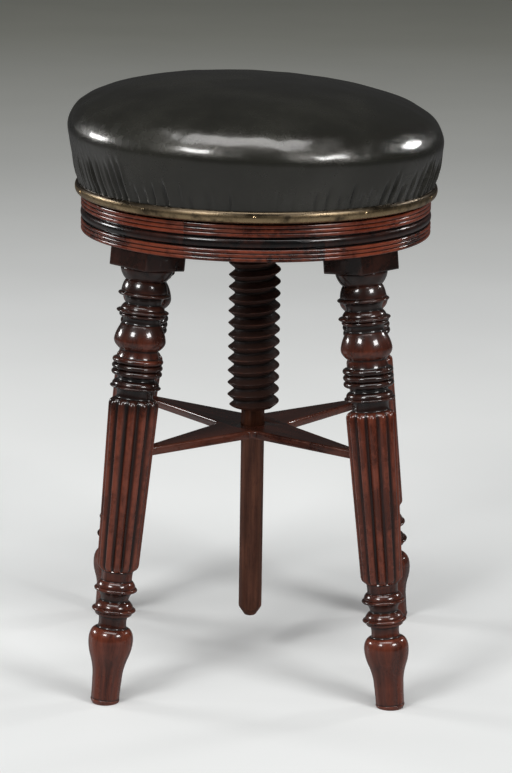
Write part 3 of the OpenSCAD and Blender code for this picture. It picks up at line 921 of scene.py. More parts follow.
@dataclass(frozen=True)
class PaleFloor(Finish):
    """A pale floor that falls off to grey far behind the stool."""

    name: str = "floor_pale"
    tones: tuple[tuple[float, float, float], ...] = (
        (-0.12, 0.60, 0.99), (0.0, 0.73, 0.99), (0.3, 0.75, 0.99), (1.0, 0.83, 0.985),
        (1.6, 0.91, 0.985), (2.5, 0.98, 0.965), (3.6, 0.98, 0.93), (4.3, 0.90, 0.91),
        (5.0, 0.76, 0.87), (7.9, 0.48, 0.83))
    nearest: float = -1.0
    depth: float = 9.0

    def recipe(self, r: Recipe) -> Sockets:
        """Shows the tones to the camera, and a plain floor to gloss and to the light.

        Args:
            r: The recipe that the nodes are added to.

        Returns:
            What goes into the shader's sockets.
        """
        place = r.place()
        behind = r.add("SeparateXYZ", {0: place}).outputs["Y"]
        share = r.math("DIVIDE", r.math("SUBTRACT", behind, self.nearest), self.depth)
        tones = r.add("ValToRGB", {0: share})
        stops = tones.color_ramp.elements
        while len(stops) < len(self.tones):
            stops.new(0.5)
        for stop, (at, grey, warm) in zip(stops, self.tones):
            stop.position = (at - self.nearest) / self.depth
            stop.color = (grey * 0.985, grey, grey * warm, 1)
        rays = r.add("LightPath").outputs
        haze = r.ramp(r.noise(r.scaled(place, 2.5), 3, 0.5), 0.3, 0.7, 1.23, 1.27)
        seen = r.mix(1.0, tones.outputs[0], haze, "MULTIPLY")
        plain = r.mix(rays["Is Glossy Ray"], (0.80, 0.80, 0.80), (0.20, 0.20, 0.20))
        return {"Base Color": r.mix(rays["Is Camera Ray"], plain, seen), "Roughness": 0.5}


# Brass: its dark colour is tarnish, and on the bead's upper part a painted reflection of the
# leather.
BRASS = Metal("brass_aged", (0.54, 0.395, 0.225), (0.105, 0.080, 0.052), 0.18)
IRON = Metal("iron_dull", (0.20, 0.195, 0.19), (0.05, 0.045, 0.042), 0.42)
BOARD = Mahogany("board_wood_plain", (0.10, 0.045, 0.022), (0.21, 0.105, 0.055),
                 (0.25, 0.13, 0.07), roughness=0.55, coat=0.0, local=False)
NUT = Mahogany("nut_wood_plain", (0.03, 0.011, 0.007), (0.085, 0.03, 0.018),
               (0.12, 0.05, 0.03), roughness=0.42, coat=0.2, local=False)
WEDGE = Mahogany("wedge_wood_plain", (0.16, 0.07, 0.035), (0.26, 0.13, 0.07),
                 (0.3, 0.15, 0.08), roughness=0.5, coat=0.0, local=False)
HIDE = Mahogany("washer_hide", (0.16, 0.085, 0.04), (0.24, 0.14, 0.075),
                (0.3, 0.2, 0.12), roughness=0.6, coat=0.0, local=False)


@dataclass
class SubAssembly:
    """A part of the stool that is set out from its plan and dressed in one finish."""

    body: ClassVar[Body]
    slot: ClassVar[Slot]
    finish: ClassVar[Finish]

    plan: StoolPlan
    sharp: float = math.radians(50)
    hollow_reach: float = 0.0022
    hollow_passes: int = 2

    def lay_wear_and_shade(self, obj: Object) -> None:
        """Lays where a piece gathers dirt and painted shade, and where it is rubbed."""
        lay_hollows(obj, self.hollow_reach, self.hollow_passes)

    def dress(self, obj: Object, *nodes: str) -> None:
        """Gives a piece its finish and its body, and hides the nodes it stands for.

        Args:
            obj: The piece.
            nodes: Frame nodes that it replaces.
        """
        take(obj)
        bpy.ops.object.shade_smooth_by_angle(angle=self.sharp)
        self.lay_wear_and_shade(obj)
        obj.data.materials.clear()
        obj.data.materials.append(self.finish.material())
        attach(obj, self.body.value)
        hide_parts(*nodes)
        LOG.info("%s: %d faces on %s", obj.name, len(obj.data.polygons), self.body.value)

    def build(self) -> None:
        """Makes and dresses the sub-assembly's pieces."""
        raise NotImplementedError


@dataclass
class Legs(SubAssembly):
    """The four legs: block, turnings, reeded shaft, foot and wedged tenon."""

    body, slot = Body.BASE, Slot.LEG
    finish = Mahogany("leg_mahogany_polished", (0.034, 0.0085, 0.005),
                      (0.128, 0.0275, 0.0128), (0.20, 0.048, 0.024),
                      darkened=(0.0068, 0.0042, 0.0035), spread=0.20)

    hollow_reach: float = 0.0048
    block_side: float = 0.048
    block_ease: float = 0.0009
    block_rim: float = 0.0015
    turn_r: float = 0.0235
    turn_steps: int = 96
    row_steps: int = 12
    core: float = 0.8
    neck: float = 0.9
    reeds: int = 12
    reed_points: int = 12
    groove: float = 0.0034
    groove_power: float = 3.2
    reed_round: float = 0.006
    rounding: tuple[float, ...] = (0.0, 0.03, 0.1, 0.22, 0.4, 0.65, 1.0)
    shaft_rings: int = 10
    tenon_r: float = 0.014
    wedge_t: float = 0.0026
    wedge_h: float = 0.020
    wedge_proud: float = 0.0001
    foot_trim: float = 0.00235
    # Painted shade: how much each depth down the leg is darkened, darkest on the block and upper
    # turnings under the base, and on the rings.
    painted_shade: tuple[tuple[float, float], ...] = (
        (0.019, 0.97), (0.022, 0.93), (0.072, 0.90), (0.084, 0.50), (0.100, 0.30), (0.106, 0.93),
        (0.143, 0.90), (0.148, 0.12), (0.303, 0.12), (0.308, 0.6), (0.345, 0.5), (0.352, 0.0))
    upper_rows: tuple[Row, ...] = (
        (0.094, 0.970, 0.935, 0.740), (0.092, 0.740, 0.855, 0.865), (0.030, 0.865, 0.995, 0.830),
        (0.061, 0.830, 0.710, 0.700), (0.041, 0.700, 0.810, 0.830), (0.031, 0.830, 1.000, 0.800),
        (0.030, 0.785, 0.885, 0.765), (0.052, 0.765, 0.705, 0.755),
        (0.113, 0.755, 0.905, 0.985, FLOWING), (0.084, 0.985, 0.947, 0.745, FLOWING),
        (0.060, 0.745, 0.765, 0.820), (0.047, 0.825, 0.975, 0.815), (0.047, 0.815, 0.975, 0.815),
        (0.047, 0.815, 0.975, 0.810), (0.036, 0.800, 0.715, 0.780), (0.039, 0.780, 0.890, 0.875),
        (0.024, 0.875, 0.975, 0.810), (0.074, 0.745, 0.695, 0.725))
    lower_rows: tuple[Row, ...] = (
        (0.075, 0.620, 0.595, 0.605), (0.049, 0.605, 0.725, 0.730), (0.031, 0.730, 0.835, 0.700),
        (0.070, 0.700, 0.565, 0.555), (0.049, 0.555, 0.700, 0.725), (0.031, 0.725, 0.850, 0.710),
        (0.026, 0.710, 0.720, 0.670), (0.095, 0.605, 0.535, 0.595),
        (0.090, 0.595, 0.800, 0.865, SHOULDER), (0.128, 0.865, 0.834, 0.740, FLOWING),
        (0.170, 0.740, 0.616, 0.575, FLOWING), (0.145, 0.575, 0.557, 0.550, FLOWING),
        (0.045, 0.550, 0.530, 0.420))

    def reeds_to(self, leg: int) -> float:
        """Distance down a leg at which its reeds end."""
        return self.plan.reeds_from(leg) + self.plan.reeded_h

    def lower_h(self, leg: int) -> float:
        """Length of the lower turnings of a leg, with what the floor trims off."""
        return self.plan.leg_run(leg).length - self.reeds_to(leg) + self.foot_trim

    def turnings(self) -> Object:
        """Turns the core of the common leg, from inside its block down to its foot.

        Returns:
            The turned core on its own upright axis, top at z = 0.
        """
        block_h = self.plan.block_h
        upper = moulded(self.upper_rows, -block_h, self.plan.upper_turn_h, 0.0, self.turn_r,
                        self.row_steps)
        lower = moulded(self.lower_rows, -self.reeds_to(1), self.lower_h(1), 0.0, self.turn_r,
                        self.row_steps)
        inside = block_h / 2
        outline = [(0.0, -inside), (upper[0][0], -inside), *upper,
                   (upper[-1][0] * self.core, upper[-1][1] - self.reed_round),
                   (lower[0][0] * self.core, lower[0][1] + self.reed_round), *lower,
                   (0.0, lower[-1][1])]
        return turned("leg_turnings", outline, self.turn_steps)

    def reed_radius(self, k: int, z: float, share: float, neck: float) -> float:
        """Radius at point k of a reed, at a depth below the reeds' top.

        Args:
            k: Number of the point across the reed.
            z: Depth below the top of the reeds.
            share: How far the section has grown from the round neck.
            neck: Radius of the neck.

        Returns:
            The radius.
        """
        fall = abs(math.cos(math.pi * k / self.reed_points)) ** self.groove_power
        return neck + (self.plan.reeds_r(z) - self.groove * fall - neck) * share

    def reeded(self) -> Object:
        """Shapes the reeded shaft from a circle that is pulled down ring by ring.

        Returns:
            The shaft with its top at z = 0.
        """
        count = self.reeds * self.reed_points
        top, foot = (self.turn_r * share * self.neck
                     for share in (self.upper_rows[-1][3], self.lower_rows[0][1]))
        length = self.plan.reeded_h
        straight = length - 2 * self.reed_round
        ends = [(s * self.reed_round, math.sqrt(1 - (1 - s) ** 2), top) for s in self.rounding]
        body = [(self.reed_round + straight * k / self.shaft_rings, 1.0, top)
                for k in range(1, self.shaft_rings)]
        feet = [(length - z, share, foot) for z, share, _ in reversed(ends)]
        clear()
        bpy.ops.mesh.primitive_circle_add(vertices=count, radius=1.0, fill_type="NGON")
        obj = bpy.context.object
        obj.name = "leg_reeds"
        step = FULL_TURN / count
        half = self.reed_points // 2
        was = [1.0] * (half + 1)
        depth = 0.0
        with editing(obj):
            for z, share, neck in ends + body + feet:
                if z > 0:
                    bpy.ops.mesh.extrude_region_move(
                        TRANSFORM_OT_translate={"value": (0, 0, depth - z)})
                depth = z
                for k in range(half + 1):
                    def in_group(co: Vector, k: int = k, z: float = z) -> bool:
                        """Says whether a point of this ring is the kth from a groove."""
                        at = round(math.atan2(co.y, co.x) / step) % self.reed_points
                        return abs(co.z + z) < NEAR and min(at, self.reed_points - at) == k
                    pick(obj, in_group)
                    now = self.reed_radius(k, z, share, neck)
                    bpy.ops.transform.resize(value=(now / was[k], now / was[k], 1),
                                             center_override=(0, 0, -z))
                    was[k] = now
                pick(obj, lambda co: abs(co.z + depth) < NEAR)
            face_out()
        return obj

    def block(self) -> Object:
        """Shapes the square block, with eased edges, standing proud for its trim.

        Returns:
            The block on the leg's own axis.
        """
        height = self.plan.block_h + self.block_side / 2
        obj = cube("leg_block", (self.block_side, self.block_side, height),
                   height / 2 - self.plan.block_h)
        with editing(obj):
            bpy.ops.mesh.bevel(offset=self.block_ease, segments=3, affect="EDGES")
            rim(obj, 3e-4, self.block_rim)
        return obj

    def tenon(self, leg: int) -> Object:
        """Makes the tenon of one leg, sawn flush with the base board and slit for its wedge.

        Args:
            leg: Number of the leg.

        Returns:
            The tenon in its place.
        """
        plan, r, low = self.plan, self.tenon_r, -self.plan.block_h / 2
        top = plan.base_board_t + r
        obj = turned("leg_tenon", [(0, top), (r, top), (r, low), (0, low)], 64)
        lay_grain(obj, 40 + leg)
        settle(obj, plan.leg_place(leg))
        saw(obj, (0, 0, plan.base_top), (0, 0, 1))
        slit = cube("leg_slit", (self.wedge_t, 4 * r, self.wedge_h),
                    -self.wedge_h / 2 + self.wedge_proud)
        with editing(slit):
            pick(slit, lambda co: co.z < -self.wedge_h / 2)
            bpy.ops.transform.resize(value=(0.5, 1, 1))
        settle(slit, plan.leg_place(leg, plan.leg_at(leg, plan.base_top)))
        cut(obj, slit)
        return obj

    def fit(self, obj: Object, leg: int) -> None:
        """Moves a copy's turnings up or down and stretches it to its leg's own length.

        Args:
            obj: Copy of the common leg.
            leg: Number of the leg.
        """
        plan, rise = self.plan, self.plan.rise(leg)
        common, end = plan.reeds_from(1), -self.reeds_to(leg)
        with editing(obj):
            if rise:
                pick(obj, lambda co: -common - NEAR < co.z < -plan.block_h + NEAR)
                bpy.ops.transform.resize(value=(1, 1, 1 - rise / plan.upper_turn_h),
                                         center_override=(0, 0, -plan.block_h))
                pick(obj, lambda co: co.z < -common - NEAR)
                bpy.ops.transform.translate(value=(0, 0, rise))
            pick(obj, lambda co: co.z < end + NEAR)
            bpy.ops.transform.resize(value=(1, 1, self.lower_h(leg) / self.lower_h(1)),
                                     center_override=(0, 0, end))

    def build(self) -> None:
        """Makes one leg and its three copies, each on its own lean."""
        plan = self.plan
        reeds = self.reeded()
        settle(reeds, Matrix.Translation((0, 0, -plan.reeds_from(1))))
        body = join("leg_body", [self.turnings(), reeds])
        block = self.block()
        for leg, corner in enumerate(("front_left", "front_right", "rear_left", "rear_right")):
            parts = [copied(body, "leg_body_copy"), copied(block, "leg_block_copy")]
            self.fit(parts[0], leg)
            for part in parts:
                lay_grain(part, 10 + leg)
                # Paints shade down the leg, from the table of depths.
                lay(part, "darkening", np.interp(-points_of(part)[:, 2], *zip(*self.painted_shade)))
                settle(part, plan.leg_place(leg))
            saw(parts[0], (0, 0, 0), (0, 0, -1))
            saw(parts[1], (0, 0, plan.base_underside), (0, 0, 1))
            piece = join(f"leg_{corner}_wood", [*parts, self.tenon(leg)])
            self.dress(piece, f"leg_{corner}")
        delete(body, block)


@dataclass
class BaseRing(SubAssembly):
    """The reeded ring round the base, glued up from eight segments."""

    body, slot = Body.BASE, Slot.RING
    finish = Mahogany("ring_mahogany_polished", (0.009, 0.0028, 0.0022),
                      (0.126, 0.0200, 0.0065), (0.24, 0.048, 0.019), coat=0.6,
                      darkened=(0.003, 0.0027, 0.0027), spread=0.11)

    hollow_reach: float = 0.0034
    segments: int = 8
    steps: int = 40
    row_steps: int = 10
    seam: float = 0.00016
    # Row of the darkened band, and where painted shade starts towards each groove between reeds
    # and how far it runs.
    band: int = 4
    line_from: float = 0.62
    line_over: float = 0.3
    rows: tuple[Row, ...] = (
        (0.115, 0.35, 0.85, 0.25), (0.115, 0.25, 0.85, 0.25), (0.115, 0.25, 0.85, 0.10),
        (0.042, 0.05, -0.35, 0.05), (0.240, 0.10, 1.00, 0.10), (0.038, 0.05, -0.35, 0.05),
        (0.112, 0.20, 0.90, 0.25), (0.112, 0.25, 0.90, 0.25), (0.111, 0.25, 0.90, 0.35))

    @property
    def top(self) -> float:
        """Height of the ring's upper edge."""
        return self.plan.base_underside + self.plan.ring_h

    def segment(self, k: int) -> Object:
        """Spins one segment and closes its two ends.

        Args:
            k: Number of the segment, from 1 at the front.

        Returns:
            The segment in its place.
        """
        plan = self.plan
        back = plan.ring_r - plan.ring_t
        face = moulded(self.rows, self.top, plan.ring_h, plan.ring_r - plan.reed_depth,
                       plan.reed_depth, self.row_steps)
        outline = [(back, self.top), *face, (back, plan.base_underside)]
        span = FULL_TURN / self.segments - self.seam / plan.ring_r
        start = FRONT + FULL_TURN / self.segments * (k - 1) - span / 2
        obj = draw(f"frieze_{k}", [(r * math.cos(start), r * math.sin(start), z)
                                   for r, z in outline], closed=True)
        spin(obj, self.steps, span)
        with editing(obj):
            for turn in (start, start + span):
                ray, side = unit(turn), left(unit(turn))
                pick(obj, lambda co: abs(co.dot(side)) < NEAR and co.dot(ray) > 0)
                bpy.ops.mesh.edge_face_add()
            face_out()
        return obj

    def darkening(self, places: np.ndarray, reach: np.ndarray) -> np.ndarray:
        """Gives how much the ring is darkened: its middle band, and painted shade in the grooves
        between its reeds.

        Args:
            places: Points of a segment, one row each.
            reach: Their distance from the stool's axis.

        Returns:
            The darkening at each point, from 0 to 1.
        """
        plan = self.plan
        marks = np.append(0, np.cumsum([row[0] for row in self.rows]))
        drop = np.clip((self.top - places[:, 2]) / plan.ring_h, 0, 0.9999)
        row = np.clip(np.searchsorted(marks, drop, side="right") - 1, 0, len(self.rows) - 1)
        off = np.abs(2 * (drop - marks[row]) / (marks[row + 1] - marks[row]) - 1)
        # Painted shade in the grooves between the reeds; the middle band is darkened whole.
        groove_shade = np.clip((off - self.line_from) / self.line_over, 0, 1)
        dark = np.where(np.abs(row - self.band) < 2, 1.0, groove_shade)
        return dark * (reach > plan.ring_r - plan.ring_t / 2)

    def build(self) -> None:
        """Makes the eight segments, each with its own stretch of grain."""
        for k in range(1, self.segments + 1):
            obj = self.segment(k)
            places = points_of(obj)
            turn = np.arctan2(places[:, 1], places[:, 0])
            reach = np.hypot(places[:, 0], places[:, 1])
            lay_grain(obj, 60 + k, np.stack([reach, places[:, 2], turn * self.plan.ring_r], 1))
            # Darkens the middle band and paints shade in the grooves between the reeds.
            lay(obj, "darkening", self.darkening(places, reach))
            self.dress(obj, f"frieze_segment_{k}")


@dataclass
class WoodScrew(SubAssembly):
    """The wooden screw: flange, neck, right-hand thread and plain guide shaft."""

    body, slot = Body.SEAT, Slot.SCREW
    finish = Mahogany("screw_wood_polished", (0.050, 0.0165, 0.009), (0.160, 0.056, 0.029),
                      (0.34, 0.10, 0.052), coat=0.05, darkened=(0.034, 0.0165, 0.0125),
                      roughness=0.42)

    sharp: float = math.radians(42)
    thread_r: float = 0.0242
    thread_depth: float = 0.0056
    pitch: float = 0.0114
    thread_end: float = 0.248
    thread_gap: float = 0.0003
    run_out: float = 0.0105
    shaft_r: float = 0.0109
    shaft_end: float = 0.043
    shaft_chamfer: float = 0.008
    shaft_tip_r: float = 0.0056
    flange_r: float = 0.043
    flange_t: float = 0.008
    flange_ease: float = 0.0008
    neck_l: float = 0.004
    steps: int = 64
    ridge: tuple[tuple[float, float], ...] = (
        (0.0, 0.0), (0.03, 0.05), (0.20, 0.46), (0.375, 0.89), (0.412, 0.965), (0.430, 0.992),
        (0.447, 1.0), (0.464, 0.992), (0.482, 0.965), (0.519, 0.89), (0.695, 0.46),
        (0.865, 0.05), (0.895, 0.0), (1.0, 0.0))

    @property
    def root_r(self) -> float:
        """Radius at the bottom of the thread."""
        return self.thread_r - self.thread_depth

    def thread(self) -> Object:
        """Winds the thread from one ridge and turns off its two ends.

        Returns:
            The threaded part as a closed solid.
        """
        top = self.plan.seat_under - self.plan.washer_t - self.thread_gap
        first = self.thread_end + self.pitch / 20 - 2 * self.pitch
        turns = math.ceil((top - first) / self.pitch) + 2
        obj = draw("screw_thread", [(self.root_r + self.thread_depth * h, 0,
                                     first + s * self.pitch) for s, h in self.ridge])
        wind = obj.modifiers.new("wind", "SCREW")
        wind.angle, wind.screw_offset, wind.iterations = FULL_TURN, self.pitch, turns
        wind.steps = wind.render_steps = self.steps
        wind.use_merge_vertices, wind.merge_threshold = True, NEAR
        apply(obj, wind)
        with editing(obj):
            bpy.ops.mesh.remove_doubles(threshold=NEAR)
        saw(obj, (0, 0, self.thread_end), (0, 0, -1))
        saw(obj, (0, 0, top), (0, 0, 1))
        with editing(obj):
            face_out()
        out, inner, low = self.thread_r + 0.002, self.shaft_r + 0.003, self.thread_end - 0.001
        end = ellipse(inner, low + self.run_out, out - inner, self.run_out, range(-90, 1, 10))
        outline = [(0, low), *end, (out, top + 0.01), (0, top + 0.01)]
        cut(obj, turned("screw_envelope", outline, BORE_STEPS), "INTERSECT")
        return obj

    def build(self) -> None:
        """Makes the whole screw as one piece."""
        plan, root, ease = self.plan, self.root_r, self.flange_ease
        under, top = plan.seat_under, plan.seat_under + self.flange_t
        neck_low = plan.base_top - self.neck_l
        head = turned("screw_head", [
            (0, top), (self.flange_r - ease, top), (self.flange_r, top - ease),
            (self.flange_r, under + ease), (self.flange_r - ease, under), (root + 0.0015, under),
            (root, under - 0.001), (root, neck_low), (0, neck_low)], BORE_STEPS)
        r, tip_r, tip, end = self.shaft_r, self.shaft_tip_r, self.shaft_end, self.thread_end
        bend = tip + self.shaft_chamfer
        shaft = turned("screw_shaft", [
            (0, tip), (tip_r - 0.0006, tip), (tip_r, tip + 0.0005), (r - 0.0009, bend - 0.0009),
            (r - 0.0002, bend + 0.0004), (r, bend + 0.0016), (r, end - 0.0012),
            (r + 0.0008, end + 0.0002), (0, end + 0.002)], BORE_STEPS)
        piece = join("screw_wood_turned", [self.thread(), head, shaft])
        lay_grain(piece, 31)
        # Darkens the thread and flange above the guide shaft.
        lay(piece, "darkening", np.clip((points_of(piece)[:, 2] - end + 0.001) / 0.004, 0, 1))
        self.dress(piece, "screw")


@dataclass
class Stretcher(SubAssembly):
    """The crossed stretcher: two tapered bars half-lapped at the hub."""

    body, slot = Body.BASE, Slot.STRETCHER
    finish = Mahogany("stretcher_wood_polished", (0.018, 0.0055, 0.004),
                      (0.085, 0.023, 0.0125), (0.16, 0.050, 0.030))

    hollow_passes: int = 1
    top: float = 0.232
    thick: float = 0.008
    end_w: float = 0.0094
    hub_w: float = 0.0505
    tenon_r: float = 0.0032
    tenon_l: float = 0.013
    tenon_in: float = 0.004
    fillet: float = 0.008
    fillet_steps: int = 8
    gap: float = 0.0003
    bore_r: float = 0.0112
    bore_ease: float = 0.0006
    ease: float = 0.0021
    edge_rim: float = 0.001
    joint: float = 0.00012
    past: float = 0.01
    order: tuple[int, ...] = (0, 1, 3, 2)

    @property
    def low(self) -> float:
        """Height of the stretcher's underside."""
        return self.top - self.thick

    @property
    def mid(self) -> float:
        """Height of the stretcher's middle."""
        return self.top - self.thick / 2

    def way(self, leg: int) -> float:
        """Direction of the arm that reaches to a leg."""
        at = self.plan.leg_at(leg, self.mid)
        return math.atan2(at.y, at.x)

    def length(self, leg: int) -> float:
        """Length of an arm from the screw's axis to the reeds of its leg.

        Args:
            leg: Leg of the arm.

        Returns:
            The length.
        """
        plan, lean = self.plan, self.plan.leg_lean(leg)
        at = plan.leg_at(leg, self.mid)
        reeds = plan.reeds_r(plan.base_underside - self.mid - plan.reeds_from(leg))
        return (math.hypot(at.x, at.y) - reeds / math.cos(lean) - self.gap
                - self.thick / 2 * math.tan(lean))

    def edge(self, leg: int, side: int) -> Vector:
        """Corner of an arm's end on one side, seen from above."""
        way = unit(self.way(leg))
        return way * self.length(leg) + left(way) * (side * self.end_w / 2)

    def corner(self, leg: int, following: int) -> tuple[Vector, float, float]:
        """Where the edges of two neighbouring arms meet.

        Args:
            leg: The first arm's leg.
            following: The next arm's leg, counter-clockwise.

        Returns:
            The corner's place, its direction and half the angle that the edges enclose.
        """
        half = ((self.way(following) - self.way(leg)) % FULL_TURN) / 2
        taper = math.atan2(self.hub_w - self.end_w, self.length(leg) + self.length(following))
        far = self.hub_w / 2 / (math.sin(half) + math.cos(half) * math.tan(taper))
        way = self.way(leg) + half
        return unit(way) * far, way, half + taper

    def outline(self) -> list[Vector]:
        """Sets out the whole cross, with its four rounded corners.

        Returns:
            The outline's points, seen from above.
        """
        points = []
        for k, leg in enumerate(self.order):
            at, way, half = self.corner(leg, self.order[(k + 1) % 4])
            centre = at + unit(way) * (self.fillet / math.sin(half))
            points += [self.edge(leg, -1), self.edge(leg, 1)]
            for step in range(self.fillet_steps + 1):
                turn = way + 1.5 * math.pi - half - (math.pi - 2 * half) * step / self.fillet_steps
                points.append(centre + unit(turn) * self.fillet)
        return points

    def slab(self, name: str, points: Sequence[Vector], low: float, high: float) -> Object:
        """Draws an outline at a height, fills it and pulls it up into a slab.

        Args:
            name: Name of the slab.
            points: Its outline, seen from above.
            low: Height of its underside.
            high: Height of its top.

        Returns:
            The slab.
        """
        obj = draw(name, [(p.x, p.y, low) for p in points], closed=True)
        with editing(obj):
            bpy.ops.mesh.edge_face_add()
            bpy.ops.mesh.extrude_region_move(TRANSFORM_OT_translate={"value": (0, 0, high - low)})
            face_out()
        return obj

    def cross(self) -> Object:
        """Makes the whole cross with eased edges and the bore for the guide shaft.

        Returns:
            The cross.
        """
        low, high, ease = self.low, self.top, self.bore_ease
        obj = self.slab("stretcher_cross", self.outline(), low, high)
        with editing(obj):
            bpy.ops.mesh.select_all(action="DESELECT")
            bpy.ops.mesh.select_mode(type="EDGE")
            mesh = bmesh.from_edit_mesh(obj.data)
            for line in mesh.edges:
                a, b = line.verts[0].co, line.verts[1].co
                line.select_set(abs(a.z - b.z) < MERGE)
            bmesh.update_edit_mesh(obj.data)
            bpy.ops.mesh.bevel(offset=self.ease, segments=4, affect="EDGES")
            rim(obj, 3e-3, self.edge_rim)
        r, mouth, past = self.bore_r, self.bore_r + ease + 0.002, 0.002
        cut(obj, turned("stretcher_bore", [
            (0, high + past), (mouth, high + past), (r, high - ease), (r, low + ease),
            (mouth, low - past), (0, low - past)], BORE_STEPS))
        return obj

    def facing(self, leg: int) -> Vector:
        """Middle of the other bar's edge on the side that faces a leg.

        Args:
            leg: Number of the leg.

        Returns:
            The place, seen from above.
        """
        others = (1, 2) if leg in (0, 3) else (0, 3)
        line = (self.edge(others[0], 0) - self.edge(others[1], 0)).normalized()
        across = left(line) * (self.hub_w / 2)
        return across if across.dot(self.edge(leg, 0)) > 0 else -across

    def arm_block(self, leg: int) -> Object:
        """Makes the block that takes one arm off the cross, beyond the other bar's edge.

        Args:
            leg: Leg of the arm.

        Returns:
            The block, drawn in by half of the joint's gap.
        """
        k = self.order.index(leg)
        first, way_1, _ = self.corner(self.order[k - 1], leg)
        second, way_2, _ = self.corner(leg, self.order[(k + 1) % 4])
        far = 0.25
        points = [self.facing(leg), first, unit(way_1) * far, unit(way_2) * far, second]
        pull = self.edge(leg, 0).normalized() * (self.joint / 2)
        return self.slab("arm_block", [p - pull for p in points], self.low - self.past,
                         self.top + self.past)

    def lap_block(self, legs: tuple[int, int], high: bool) -> Object:
        """Makes the block that takes one half of the hub out of a bar.

        Args:
            legs: Legs of the bar that is cut.
            high: Whether its upper half is taken out.

        Returns:
            The block.
        """
        points = []
        for k, leg in enumerate(self.order):
            push = 1.0 if leg in legs else 1.2
            points += [self.facing(leg) * push, self.corner(leg, self.order[(k + 1) % 4])[0]]
        span = (self.mid - self.joint / 2, self.top + self.past) if high \
            else (self.low - self.past, self.mid + self.joint / 2)
        return self.slab("lap_block", points, *span)

    def bar(self, cross: Object, name: str, legs: tuple[int, int], others: tuple[int, int],
            passes_over: bool) -> None:
        """Cuts one bar out of a copy of the cross and adds its round tenons.

        Args:
            cross: The whole cross.
            name: Node of the bar.
            legs: The two legs that it joins.
            others: The other two legs.
            passes_over: Whether the bar passes over at the hub.
        """
        obj = copied(cross, name + "_wood")
        for leg in others:
            cut(obj, self.arm_block(leg))
        cut(obj, self.lap_block(legs, not passes_over))
        parts = [obj]
        for leg in legs:
            r, out, way = self.tenon_r, self.tenon_l + self.tenon_in, self.way(leg)
            tenon = turned("arm_tenon", [(0, 0), (r, 0), (r, out), (0, out)], 32)
            start = self.length(leg) - self.tenon_in
            at = (math.cos(way) * start, math.sin(way) * start, self.mid)
            settle(tenon, Matrix.Translation(at) @ Matrix.Rotation(way, 4, "Z")
                   @ Matrix.Rotation(math.pi / 2, 4, "Y"))
            parts.append(tenon)
        piece = join(name + "_wood", parts)
        line = self.edge(legs[0], 0) - self.edge(legs[1], 0)
        turn = math.atan2(line.y, line.x)
        x, y, z = points_of(piece).T
        along = x * math.cos(turn) + y * math.sin(turn)
        across = -x * math.sin(turn) + y * math.cos(turn)
        lay_grain(piece, 80 + legs[0], np.stack([across, z, along], 1))
        self.dress(piece, name)

    def build(self) -> None:
        """Makes the cross and cuts its two bars."""
        cross = self.cross()
        self.bar(cross, "stretcher_bar_a", (1, 2), (0, 3), True)
        self.bar(cross, "stretcher_bar_b", (0, 3), (1, 2), False)
        delete(cross)


